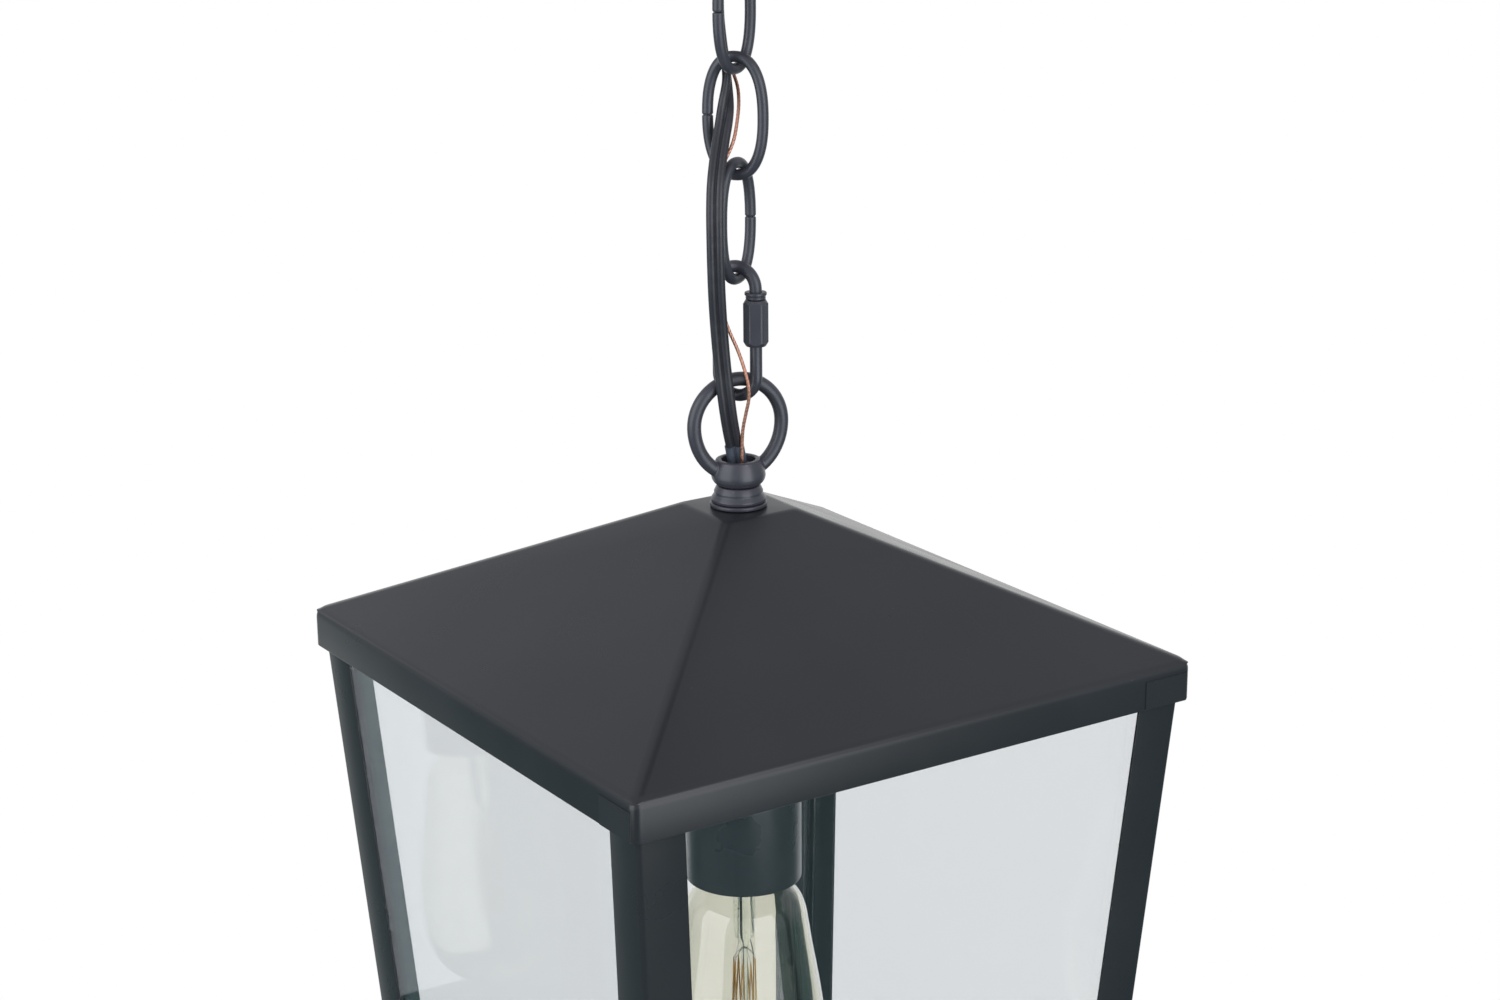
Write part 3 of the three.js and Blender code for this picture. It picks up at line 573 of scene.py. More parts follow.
def bulb_glass():
    look = Look("bulb_glass", base_color=(0.95, 0.93, 0.835), roughness=0.0, ior=1.54)
    look.shader.inputs["Transmission Weight"].default_value = 1.0
    look.bump(look.noise(30, 1, (1, 1, 0.4)), mm(0.4), 0.05)
    look.lets_lamps_through((0.93, 0.93, 0.9))
    return look.material


def foot_glass():
    look = Look("foot_glass", base_color=(0.9, 0.94, 0.9), roughness=0.02, ior=1.52)
    look.shader.inputs["Transmission Weight"].default_value = 1.0
    look.bump(look.noise(160, 2), mm(0.2), 0.1)
    look.lets_lamps_through((0.85, 0.88, 0.86))
    return look.material


def metal(name, dark, light, rough_low, rough_high, grain=(1, 1, 1), scale=300):
    """Bare metal with drawn or turned grain."""
    look = Look(name, metallic=1.0)
    look.colour(look.mixed(look.ranged(look.noise(70, 4), 0.35, 0.65, 0, 1), dark, light))
    look.roughness(look.ranged(look.noise(scale, 3, grain), 0.3, 0.7, rough_low, rough_high))
    look.bump(look.noise(scale * 2, 2, grain), mm(0.02), 0.3)
    return look.material


def cord_jacket():
    """Black vinyl: slightly glossy, with fine extrusion lines and dust in places."""
    look = Look("cord_jacket", roughness=0.36, ior=1.5)
    dust = look.ranged(look.noise(90, 5), 0.55, 0.8, 0, 1)
    look.colour(look.mixed(dust, (0.030, 0.031, 0.039), (0.055, 0.057, 0.065)))
    look.roughness(look.ranged(look.noise(240, 3), 0.3, 0.7, 0.30, 0.44))
    look.bump(look.noise(1500, 2, (1, 1, 0.1)), mm(0.02), 0.3)
    return look.material


def plastic(name, dark, light, rough, scale=80, ior=1.46):
    """Moulded plastic or glazed ceramic with slightly uneven colour and gloss."""
    look = Look(name, ior=ior)
    look.colour(look.mixed(look.ranged(look.noise(scale, 4), 0.35, 0.65, 0, 1), dark, light))
    look.roughness(look.ranged(look.noise(scale * 3, 3), 0.3, 0.7, rough * 0.85, rough * 1.2))
    look.bump(look.noise(scale * 10, 2), mm(0.03), 0.2)
    return look.material


LOOKS = {
    "black_paint": black_paint(),
    "black_chain": chain_paint(),
    "pane_glass": pane_glass(),
    "bulb_glass": bulb_glass(),
    "bulb_foot_glass": foot_glass(),
    "zinc": metal("zinc", (0.5, 0.51, 0.53), (0.68, 0.69, 0.7), 0.25, 0.42),
    "green_screw": metal("green_screw", (0.03, 0.22, 0.08), (0.06, 0.32, 0.13), 0.25, 0.4),
    "brass": metal("brass", (0.56, 0.38, 0.15), (0.72, 0.53, 0.25), 0.18, 0.34),
    "solder": metal("solder", (0.4, 0.4, 0.42), (0.6, 0.6, 0.6), 0.35, 0.5),
    "copper": metal("copper", (0.50, 0.24, 0.165), (0.70, 0.37, 0.27), 0.34, 0.5, scale=700),
    "filament": metal("filament", (0.55, 0.30, 0.10), (0.8, 0.5, 0.2), 0.3, 0.45, scale=900),
    "cord_jacket": cord_jacket(),
    "wire_nut": plastic("wire_nut", (0.5, 0.15, 0.03), (0.66, 0.22, 0.05), 0.45),
    "porcelain": plastic("porcelain", (0.72, 0.7, 0.65), (0.82, 0.8, 0.75), 0.18, 40, 1.5),
    "black_glass": plastic("black_glass", (0.01, 0.01, 0.014), (0.02, 0.02, 0.026), 0.12),
}


def dress(piece, slot, body=None, replaces=(), look=None):
    """Gives a piece its material, its body, and the CAD nodes that it stands for."""
    piece.data.materials.clear()
    piece.data.materials.append(look or LOOKS[slot])
    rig.slot(piece, slot)
    if body:
        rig.ride(piece, body)
    if replaces:
        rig.replaces(piece, *replaces)
    return piece


# ---- Cord and ground wire ----

# The same routes as the CAD model's, in the chain's frame, in millimetres.
CORD_ROUTE = [
    (0, 21.4, -9.8), (0, 15, -9.4), (0, 9.5, -9.2), (0, 5, -9.8), (0, 2, -12), (0, 0.8, -15.5),
    (0, 0.7, -21), (0, 0.7, -30), (0, 0.7, -38), (-0.2, 0.9, -44), (-1, 2.2, -50),
    (-2.4, 4.4, -57), (-3.8, 6.4, -64.5),
    (-4.7, 7.3, -73), (-5.2, 7.5, -82), (-5.2, 7.6, -92), (-4.4, 7.7, -101), (-3.4, 7.7, -109),
    (-2.9, 6.6, -116), (-3.2, 4, -122.5), (-4, 0.5, -129), (-5.3, -3.4, -136), (-6.4, -7.7, -143),
    (-7.2, -11.6, -150.5), (-7.5, -13.8, -159), (-7.5, -14.4, -168), (-7.4, -13.9, -178),
    (-7.2, -12.6, -188), (-6.8, -10.9, -198), (-6.2, -9.2, -208), (-5.4, -8.2, -218),
    (-4.5, -7.6, -227), (-3.5, -6.2, -236), (-2.4, -3.7, -244), (-1.3, -1.1, -250.5),
    (-0.4, 0.4, -256.5), (0, 0.7, -262), (0, 0.7, -272), (0, 0.7, -300), (0, 0.7, -340),
    (0, 0.7, -378.3),
]
GROUND_ROUTE = [
    (-8, -2.5, -4.6), (-5.6, -2.5, -6.4), (-2.8, -2.5, -9.6), (-0.2, -2.4, -14.2),
    (1.1, -2.4, -20),
    (1.2, -2.4, -34), (1.4, -2.2, -43), (1.8, -0.6, -49), (1.8, 3, -55), (0.9, 7, -61.5),
    (-0.9, 10.6, -68.5), (-2.9, 12.6, -76), (-4.6, 13.1, -85), (-5.2, 13.1, -94),
    (-4.6, 12.7, -102), (-2.8, 12, -108.5), (-0.6, 10.8, -113.5), (0.9, 8, -118),
    (1.3, 4.2, -123), (0.7, 0.6, -129),
    (-0.8, -2.6, -136), (-4, -4.1, -143), (-8, -6.2, -150), (-9.9, -9.2, -158), (-10, -10, -168),
    (-9.6, -9.6, -178), (-8.6, -8.4, -186), (-6.8, -7.2, -193), (-4.9, -6.6, -199),
    (-2.6, -6.5, -205.5), (0.2, -7, -212), (2.6, -8.2, -219), (4, -8.6, -225), (4.1, -8, -230),
    (3, -6.7, -236), (1.9, -5.3, -242), (1.5, -4, -248), (1.4, -3, -254), (1.3, -2.5, -260),
    (1.2, -2.4, -270), (1.2, -2.4, -300), (1.2, -2.4, -340), (1.2, -2.4, -378.3),
]
CORD_TWIST = [(-46, 0), (-63, 90), (-112, 90), (-133, 0)]
CORD_WIDTH = mm(6.4)
GROUND_WIDTH = mm(1.3)
CORD_STEP = mm(1.2)
GROUND_STEP = mm(0.6)
STRAND_LAY = mm(11)  # the length in which the ground wire's strands go once round
CARRIERS = ["canopy", "link_1", "link_2", "link_3", "quick_link", "lantern"]
SWINGS = ["link_1_swing", "link_2_swing", "link_3_swing", "quick_link_swing", "lantern_swing"]
BEND_REACH = mm(12)  # how far above and below a pivot a wire takes up its bend
HUB_MOUTHS = (mm(-41), mm(-258))  # where the wires leave the canopy's hub and enter the roof's


def cord_angle(height):
    """How far the cord's flat side has turned from across the chain's frame."""
    height /= MM
    if height >= CORD_TWIST[0][0]:
        return 0.0
    for (upper, start), (lower, end) in zip(CORD_TWIST, CORD_TWIST[1:]):
        if height >= lower:
            share = (upper - height) / (upper - lower)
            return math.radians(start + (end - start) * share * share * (3 - 2 * share))
    return math.radians(CORD_TWIST[-1][1])


def cord_section():
    """Two round conductors side by side with a groove between them."""
    radius = CORD_WIDTH / 4
    right = arc((radius, 0), radius, -152, 152, 18)
    left = arc((-radius, 0), radius, 28, 332, 18)
    return right + left


def strand_section():
    """A bundle of fine strands seen end on: its outline rises over each outer strand."""
    points = []
    for i in range(42):
        angle = 2 * math.pi * i / 42
        radius = GROUND_WIDTH / 2 * (0.86 + 0.14 * abs(math.cos(3.5 * angle)))
        points.append((radius * math.cos(angle), radius * math.sin(angle)))
    return points


def wire_line(route, step):
    """A route's points, close together and turned into the object's frame."""
    turn = Matrix.Rotation(CHAIN_TURN, 3, "Z")
    return [turn @ (point * MM) for point in spline(route, step / MM)]


def wire_pieces(prefix, line, section, side, turn, slot, diameter):
    """One piece to each joint that the wire crosses, and a still one at each end of them."""
    heights = [pivot(name) for name in SWINGS]
    cuts = [HUB_MOUTHS[0]]
    cuts += [(a + b) / 2 for a, b in zip(heights, heights[1:])]
    cuts += [HUB_MOUTHS[1]]
    # Past its first twentieth, which may dip, the wire is searched from its highest point down.
    level_start = max(range(len(line) // 20 + 1, len(line)), key=lambda i: line[i].z)
    marks = [0]
    for cut in cuts:
        marks.append(next(i for i in range(level_start, len(line)) if line[i].z <= cut))
    marks.append(len(line) - 1)
    names = [f"{prefix}_inlet", *(f"{prefix}_bend_{i}" for i in range(1, 6)), f"{prefix}_drop"]
    for i, name in enumerate(names):
        start, end = marks[i], marks[i + 1]
        part = line[start : end + 1]
        shape = sweep(
            part,
            section,
            lambda k, tangent: side(part[k]),
            turn=(lambda k: turn(start + k)) if turn else None,
        )
        piece = new_piece(name, shape, 50)
        node = f"{prefix}_{CARRIERS[min(i, 5)]}"
        if i == 0:
            dress(piece, slot, "canopy", [node])
        elif i == 6:
            dress(piece, slot, "lantern", [node])
        else:
            height = heights[i - 1]
            dress(piece, slot, None, [node] if i < 5 else ())
            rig.blend(
                piece,
                CARRIERS[i - 1],
                CARRIERS[i],
                start=(0, 0, height + BEND_REACH),
                end=(0, 0, height - BEND_REACH),
            )
            length = sum((b - a).length for a, b in zip(part, part[1:]))
            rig.cord(
                piece,
                exit=part[0],
                length=length,
                diameter=diameter,
                far_end="object",
                stiffness="medium",
                lay="taut",
                path=part,
            )


def make_wires():
    cord = wire_line(CORD_ROUTE, CORD_STEP)
    wire_pieces(
        "cord",
        cord,
        cord_section(),
        lambda point: turned(cord_angle(point.z)),
        None,
        "cord_jacket",
        CORD_WIDTH,
    )
    ground = wire_line(GROUND_ROUTE, GROUND_STEP)
    twist = 2 * math.pi * GROUND_STEP / STRAND_LAY
    wire_pieces(
        "ground_wire",
        ground,
        strand_section(),
        lambda point: Vector((1, 0.2, 0)),
        lambda i: i * twist,
        "copper",
        GROUND_WIDTH,
    )


make_wires()

# ---- Loop, bell and washer: the same set under the canopy and on the roof ----

RING_WIRE = mm(5.3)
RING_RADIUS = mm(17.15)
RING_CENTRE = mm(31.4)
HUB_TOP = mm(18.15)
RING_STRETCH = 1.14  # of the ring's lower half
RING_STEPS = 120
CAST_GRAIN = mm(0.3)  # size of the voxels that melt the ring and the hub together


def boolean(piece, other_data, operation):
    other = new_piece("boolean", other_data)
    modifier = piece.modifiers.new("boolean", "BOOLEAN")
    modifier.operation = operation
    modifier.object = other
    modifier.solver = "EXACT"
    apply_modifiers(piece)
    mesh = other.data
    bpy.data.objects.remove(other)
    bpy.data.meshes.remove(mesh)


def loop_piece(name, placing):
    """A cast cup with a ring grown out of its sides, and the wire hole between the ring's feet."""
    bottom = mm(8.5)
    hub = [
        (BORE, bottom), (mm(8.0), bottom), (mm(9.1), mm(9.3)), (mm(9.9), mm(10.5)),
        (mm(10.2), mm(11.8)), (mm(10.1), mm(12.8)), (mm(9.7), mm(14.3)), (mm(9.1), mm(16.2)),
        (mm(8.6), mm(17.3)), *arc((mm(7.8), mm(17.4)), mm(0.75), 15, 90, 4), (BORE, HUB_TOP),
    ]
    piece = new_piece(name, lathe(hub, 72))
    ring_line = []
    for i in range(RING_STEPS):
        angle = 2 * math.pi * i / RING_STEPS
        out, up = math.sin(angle), math.cos(angle)
        up *= RING_STRETCH if up < 0 else 1
        ring_line.append(Vector((RING_RADIUS * out, 0, RING_CENTRE + RING_RADIUS * up)))
    ring = sweep(ring_line, circle(RING_WIRE / 2, 28), flat_side, closed=True)
    boolean(piece, ring, "UNION")
    mouth = lathe([(0, mm(15.0)), (mm(6.2), mm(15.0)), (mm(6.7), mm(23.5)), (0, mm(23.5))], 48)
    boolean(piece, mouth, "DIFFERENCE")
    remesh = piece.modifiers.new("cast", "REMESH")
    remesh.mode = "VOXEL"
    remesh.voxel_size = CAST_GRAIN
    soften = piece.modifiers.new("soften", "SMOOTH")
    soften.iterations = 4
    soften.factor = 0.5
    apply_modifiers(piece)
    piece.data.transform(placing)
    piece.data.shade_smooth()
    return piece


def bell_shape():
    """A stepped collar in two tiers with rounded edges."""
    low, step, top = mm(2.1), mm(5.0), mm(8.2)
    outline = [
        (BORE, low), (mm(10.1), low), (mm(10.3), mm(3.2)), (mm(9.1), step), (mm(9.2), mm(5.9)),
        (mm(8.1), top), (BORE, top),
    ]
    return lathe(rounded(outline, [0, 0.0003, 0.0006, 0.0004, 0.0006, 0.0006, 0]), 72)


def washer_shape():
    outline = [(BORE, mm(0.3)), (mm(10.7), mm(0.3)), (mm(10.7), mm(1.8)), (BORE, mm(1.8))]
    return lathe(rounded(outline, [0, 0.0003, 0.0005, 0]), 72)


def make_loop_set(loop, bell, washer, placing, body):
    pieces = (
        (loop, loop_piece(f"{loop}_cast", placing)),
        (bell, new_piece(f"{bell}_turned", moved(bell_shape(), placing))),
        (washer, new_piece(f"{washer}_pressed", moved(washer_shape(), placing))),
    )
    for node, piece in pieces:
        dress(piece, "black_paint", body, [node], LOOKS["black_chain"])


make_loop_set(
    "canopy_loop", "canopy_bell", "canopy_washer",
    placed(CANOPY_SEAT, facing("link_1_swing"), flipped=True), "canopy",
)
make_loop_set(
    "lantern_loop", "roof_bell", "roof_washer", placed(ROOF_TOP, turned(RING_TURN)), "lantern",
)

# ---- Chain ----

LINK_WIRE = mm(4.1)
LINK_HALF_WIDTH = mm(10.65)
LINK_HALF_HEIGHT = mm(21.35)
LINK_SQUARENESS = 2.35
LINK_SLIT = 0.0022  # radians round the oval, on each side of the slit
LINK_TURNS = (237.6, 159.4, 60.8)  # in the chain's frame, towards the side with the slit
LINK_STEPS = 144
LINK_SIDES = 24
LINK_END = 0.84  # the butted ends' radius, as a share of the wire's


def make_link(number, direction):
    """A bent wire link with its butted ends a hair apart, half way up one side."""
    low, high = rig.box(f"chain_link_{number}")
    power = 2 / LINK_SQUARENESS
    line = []
    for i in range(LINK_STEPS + 1):
        angle = LINK_SLIT + (2 * math.pi - 2 * LINK_SLIT) * i / LINK_STEPS
        c, s = math.cos(angle), math.sin(angle)
        line.append(
            Vector((
                math.copysign(abs(c) ** power, c) * LINK_HALF_WIDTH,
                0,
                math.copysign(abs(s) ** power, s) * LINK_HALF_HEIGHT,
            ))
        )
    line = even(line, mm(0.8))
    line.insert(1, line[0].lerp(line[1], 0.5))
    line.insert(-1, line[-1].lerp(line[-2], 0.5))
    shape = sweep(line, circle(LINK_WIRE / 2, LINK_SIDES), flat_side)
    shape.verts.ensure_lookup_table()
    first, last = shape.verts[:LINK_SIDES], shape.verts[-LINK_SIDES:]
    for end, middle in ((first, line[0]), (last, line[-1])):
        for vert in end:
            vert.co = middle + (vert.co - middle) * LINK_END
    moved(shape, placed((low.z + high.z) / 2, direction))
    piece = new_piece(f"link_{number}_bent", shape, 50)
    dress(piece, "black_chain", f"link_{number}", [f"chain_link_{number}"])


for link_number, link_turn in enumerate(LINK_TURNS, 1):
    make_link(link_number, turned(math.radians(link_turn)))

QUICK_WIRE = mm(4.6)
QUICK_HALF_WIDTH = mm(7.85)
QUICK_HALF_HEIGHT = mm(24.2)
QUICK_GAP = (mm(4.2), mm(10.2))
COLLAR = (mm(12.9), mm(15.5))
SLEEVE = (mm(-4.6), mm(12.6))
SLEEVE_FLATS = mm(8.4)
SLEEVE_BEVEL = 1.7  # height of the bevel at its ends, as a share of the bevel's width


def make_quick_link():
    """A threaded C of thicker wire with a collar at one end, and the hex sleeve that closes it."""
    low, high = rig.box("quick_link")
    placing = placed((low.z + high.z) / 2, turned(QUICK_TURN))
    straight = QUICK_HALF_HEIGHT - QUICK_HALF_WIDTH
    line = [Vector((QUICK_HALF_WIDTH, 0, QUICK_GAP[1]))]
    line += [Vector((x, 0, z)) for x, z in arc((0, straight), QUICK_HALF_WIDTH, 0, 180, 40)]
    line += [Vector((x, 0, z)) for x, z in arc((0, -straight), QUICK_HALF_WIDTH, 180, 360, 40)]
    line += [Vector((QUICK_HALF_WIDTH, 0, QUICK_GAP[0]))]
    bend = sweep(even(line, mm(0.8)), circle(QUICK_WIRE / 2, 24), flat_side)
    collar = rounded(
        [
            (0, COLLAR[0]), (mm(3.7), COLLAR[0]), (mm(3.7), COLLAR[0] + mm(0.9)),
            (mm(3.3), COLLAR[0] + mm(1.2)), (mm(4.1), COLLAR[0] + mm(1.5)), (mm(4.1), COLLAR[1]),
            (0, COLLAR[1]),
        ],
        [0, 0.0003, 0.0002, 0.0002, 0.0003, 0.0004, 0],
    )
    collar = moved(lathe(collar, 40), Matrix.Translation((QUICK_HALF_WIDTH, 0, 0)))
    link = new_piece("quick_link_bent", moved(joined(bend, collar), placing), 50)
    dress(link, "black_chain", "quick_link", ["quick_link"])
    corner = SLEEVE_FLATS / 2 / math.cos(math.pi / 6)
    bore = QUICK_WIRE / 2 + mm(0.3)
    rings = []
    for i in range(72):
        angle = 2 * math.pi * (i + 0.5) / 72
        across = (angle + math.pi / 6) % (math.pi / 3) - math.pi / 6
        flat = min(SLEEVE_FLATS / 2 / math.cos(across), corner - mm(0.22))
        rim = SLEEVE_FLATS / 2 - mm(0.45)
        flare = (flat - rim) * SLEEVE_BEVEL
        outline = [
            (bore, SLEEVE[0]), (rim, SLEEVE[0]), (flat, SLEEVE[0] + flare),
            (flat, SLEEVE[1] - flare), (rim, SLEEVE[1]), (bore, SLEEVE[1]),
        ]
        c, s = math.cos(angle), math.sin(angle)
        rings.append([(QUICK_HALF_WIDTH + r * c, r * s, z) for r, z in outline])
    sleeve = new_piece("quick_link_hex_sleeve", moved(skin(rings, along=True), placing), 12)
    dress(sleeve, "black_chain", "sleeve", ["quick_link_sleeve"])


make_quick_link()

# ---- Canopy ----


def make_canopy():
    """A shallow spun dish with a rolled shoulder."""
    rim, depth = mm(62), -CANOPY_SEAT
    outside = [
        (BORE, -depth), (mm(26), -depth), (mm(53), mm(8) - depth),
        (rim - mm(1.5), mm(16) - depth), (rim, mm(19) - depth), (rim, mm(-0.3)),
    ]
    inside = [
        (rim - SHEET, mm(-0.3)), (rim - SHEET, mm(19.2) - depth),
        (rim - mm(2.4), mm(16.6) - depth), (mm(52.5), mm(9) - depth),
        (mm(25.8), SHEET - depth), (BORE, SHEET - depth),
    ]
    radii = [0, 0.014, 0.011, 0.004, 0.003, 0.0003, 0.0003, 0.002, 0.003, 0.010, 0.013, 0]
    piece = new_piece("canopy_spun", lathe(rounded(outside + inside, radii, 6), 128), 30)
    dress(piece, "black_paint", "canopy", ["canopy"])


def make_cap_nut(side):
    """A domed nut on the stud, with a washer-like foot."""
    low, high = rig.box(f"cap_nut_{side}")
    radius, middle = (high.x - low.x) / 2, (high + low) / 2
    tall = high.z - low.z
    dome, waist, hole = radius * 0.86, tall * 0.45, mm(2.3)
    outline = [(0, low.z)]
    for degrees in range(-80, 1, 10):
        angle = math.radians(degrees)
        outline.append((dome * math.cos(angle), low.z + waist * (1 + math.sin(angle))))
    outline += [
        (radius, high.z - waist), (radius, high.z - tall * 0.15), (radius * 0.75, high.z),
        (hole, high.z), (hole, high.z - tall * 0.6), (0, high.z - tall * 0.6),
    ]
    shape = moved(lathe(outline, 40), Matrix.Translation((middle.x, middle.y, 0)))
    piece = new_piece(f"cap_nut_{side}_domed", shape)
    dress(piece, "black_paint", "canopy", [f"cap_nut_{side}"])


make_canopy()
make_cap_nut("left")
make_cap_nut("right")

# ---- Roof ----

ROOF_EDGE = mm(14.6)
ROOF_FLAT_HALF = mm(16.2)
HIP_RADIUS = mm(3.6)
TAB_WIDTH = mm(20)
TAB_INSET = mm(2.4)  # from the corner to the tab's near end


def corner_tab(turn):
    """The end of one turned edge, which laps over its neighbour at a corner as a low relief."""
    tall = ROOF_EDGE - mm(3.4)
    tab = bmesh.new()
    middle = (ROOF_HALF - TAB_INSET - TAB_WIDTH / 2, mm(0.1) - ROOF_HALF, ROOF_BASE + tall / 2)
    shape = Matrix.Translation(middle) @ Matrix.Diagonal((TAB_WIDTH, mm(0.8), tall, 1))
    bmesh.ops.create_cube(tab, size=1, matrix=Matrix.Rotation(turn, 4, "Z") @ shape)
    bmesh.ops.bevel(tab, geom=tab.edges[:], offset=mm(0.25), segments=2, affect="EDGES")
    return tab


def make_roof():
    """One folded sheet: a small flat, four slopes with rounded hips, and the turned edge."""
    top = ROOF_TOP
    eave = ROOF_BASE + ROOF_EDGE
    slope = math.atan((top - eave) / (ROOF_HALF - ROOF_FLAT_HALF))
    lift = SHEET / math.cos(slope)
    inner_eave = eave + SHEET * math.tan(slope) - lift
    inner_flat = ROOF_HALF - (top - eave - SHEET + lift) / math.tan(slope)
    outline = [
        (BORE, top - SHEET), (inner_flat, top - SHEET), (ROOF_HALF - SHEET, inner_eave),
        (ROOF_HALF - SHEET, ROOF_BASE), (ROOF_HALF, ROOF_BASE), (ROOF_HALF, eave),
        (ROOF_FLAT_HALF, top), (BORE, top),
    ]
    radii = [0, 0.002, 0.0035, 0.0003, 0.0003, 0.0045, 0.006, 0]
    profile = rounded(outline, radii, 6)
    corners = []
    for half, height in profile:
        outside = half > ROOF_HALF - SHEET * 0.5 or height > top - SHEET * 0.5
        outside = outside or (half - inner_flat) * math.tan(slope) + height > top - SHEET * 0.4
        corner = HIP_RADIUS if outside else HIP_RADIUS * 0.4
        corners.append(min(corner, half * 0.5))
    tabs = [corner_tab(math.radians(angle)) for angle in (0, 90, 180, 270)]
    piece = new_piece("roof_folded", joined(square_loft(profile, corners), *tabs), 28)
    dress(piece, "black_paint", "lantern", ["roof"])


make_roof()

# ---- Posts, frames and panes ----

BODY_TAPER = 0.0704
POST_SETBACK = mm(3.3)
POST_LEG = mm(18.5)
POST_SHEET = mm(1.2)
POST_STEPS = 12
GROUND_EDGE = mm(0.35)  # bevel round each pane
FLAT_ANGLE = math.radians(2)
CORNERS = ["back_right", "back_left", "front_left", "front_right"]
SIDES = ["front", "right", "back", "left"]


def post_half(height):
    """Half the width across the posts' outer faces, at a height above the roof's lower edge."""
    return ROOF_HALF - POST_SETBACK + BODY_TAPER * height


def make_post(number, corner):
    """A strip folded into an angle with a rounded outer bend, leaning in to the foot."""
    low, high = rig.box(f"post_{corner}")
    section = rounded(
        [
            (0, 0), (-POST_LEG, 0), (-POST_LEG, -POST_SHEET), (-POST_SHEET, -POST_SHEET),
            (-POST_SHEET, -POST_LEG), (0, -POST_LEG),
        ],
        [0.0019, 0.0003, 0.0003, 0.0007, 0.0003, 0.0003],
        5,
    )
    rings = []
    for i in range(POST_STEPS + 1):
        z = low.z + (high.z - low.z) * i / POST_STEPS
        half = post_half(z - ROOF_BASE)
        rings.append([(half + x, half + y, z) for x, y in section])
    shape = moved(skin(rings), Matrix.Rotation(math.pi / 2 * number, 4, "Z"))
    piece = new_piece(f"post_{corner}_folded", shape, 25)
    dress(piece, "black_paint", "lantern", [f"post_{corner}"])


def make_pane(side):
    """A tapered pane of float glass with ground edges."""
    glass = frame["nodes"][f"glass_{side}"]
    data = bmesh.new()
    data.from_mesh(glass.data)
    bmesh.ops.remove_doubles(data, verts=data.verts, dist=1e-6)
    bmesh.ops.dissolve_limit(
        data, angle_limit=FLAT_ANGLE, verts=data.verts, edges=data.edges
    )
    bmesh.ops.bevel(
        data, geom=list(data.edges), offset=GROUND_EDGE, segments=1, affect="EDGES"
    )
    piece = new_piece(f"pane_{side}", data, 20)
    dress(piece, "pane_glass", "lantern", [f"glass_{side}"])


def make_square_ring(name, node, outline, radii, corner):
    profile = rounded(outline, radii, 3)
    piece = new_piece(name, square_loft(profile, [corner] * len(profile)), 28)
    dress(piece, "black_paint", "lantern", [node])


def make_frames():
    low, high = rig.box("top_frame")
    half, thick = high.x, mm(1.5)
    make_square_ring(
        "top_frame_folded", "top_frame",
        [
            (half - thick, low.z), (half, low.z), (half, high.z), (half - mm(14), high.z),
            (half - mm(14), high.z - thick), (half - thick, high.z - thick),
        ],
        [0.0003, 0.0003, 0.0018, 0.0003, 0.0003, 0.0006], mm(0.8),
    )
    low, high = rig.box("bottom_frame")
    half = high.x
    make_square_ring(
        "bottom_frame_folded", "bottom_frame",
        [
            (half - mm(21.5), low.z), (half, low.z), (half, high.z), (half - thick, high.z),
            (half - thick, low.z + thick), (half - mm(21.5), low.z + thick),
        ],
        [0.0003, 0.0018, 0.0004, 0.0004, 0.0006, 0.0003], mm(1.2),
    )
    low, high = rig.box("pane_retainer")
    head = high.x
    foot = head - mm(9) * BODY_TAPER
    make_square_ring(
        "pane_retainer_folded", "pane_retainer",
        [
            (foot - mm(8), low.z), (foot, low.z), (head, high.z), (head - thick, high.z),
            (foot - thick, low.z + thick), (foot - mm(8), low.z + thick),
        ],
        [0.0003, 0.0016, 0.0004, 0.0004, 0.0006, 0.0003], mm(0.8),
    )


for post_number, corner_name in enumerate(CORNERS):
    make_post(post_number, corner_name)
for side_name in SIDES:
    make_pane(side_name)
make_frames()

# ---- Lamp holder and bulb ----


def make_cup():
    """A drawn cup with a small chamfer at its top and an open lower end."""
    low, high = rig.box("socket_cup")
    outer = high.x
    inner = outer - SHEET
    outline = [
        (BORE, high.z - SHEET), (inner - mm(0.4), high.z - SHEET), (inner, low.z),
        (outer, low.z), (outer, high.z - mm(1.6)), (outer - mm(1.6), high.z), (BORE, high.z),
    ]
    profile = rounded(outline, [0, 0.0012, 0.0003, 0.0003, 0.0008, 0.0008, 0], 4)
    piece = new_piece("socket_cup_drawn", lathe(profile, 96), 28)
    dress(piece, "black_paint", "lantern", ["socket_cup"])


def make_bulb_base():
    """A screw base with a rolled thread."""
    low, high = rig.box("bulb_base")
    radius = high.x
    pitch, depth, sides, rows = mm(3.63), mm(0.55), 72, 96
    rings = []
    for i in range(sides):
        angle = 2 * math.pi * i / sides
        c, s = math.cos(angle), math.sin(angle)
        ring = []
        for k in range(rows + 1):
            z = low.z + (high.z - mm(2.2) - low.z) * k / rows
            fade = min(1, (z - low.z) / mm(4), (high.z - mm(2.2) - z) / mm(2))
            wave = math.cos(2 * math.pi * z / pitch - angle)
            ring.append((radius - depth * fade * (0.5 - 0.5 * wave), z))
        ring += [(radius - mm(1.6), high.z), (mm(6.2), high.z), (mm(6.2), high.z - mm(0.4))]
        ring += [(radius - mm(2.0), high.z - mm(0.5)), (radius - mm(1.0), low.z)]
        rings.append([(r * c, r * s, z) for r, z in ring])
    piece = new_piece("bulb_base_threaded", skin(rings, along=True), 40)
    dress(piece, "brass", "bulb", ["bulb_base"])


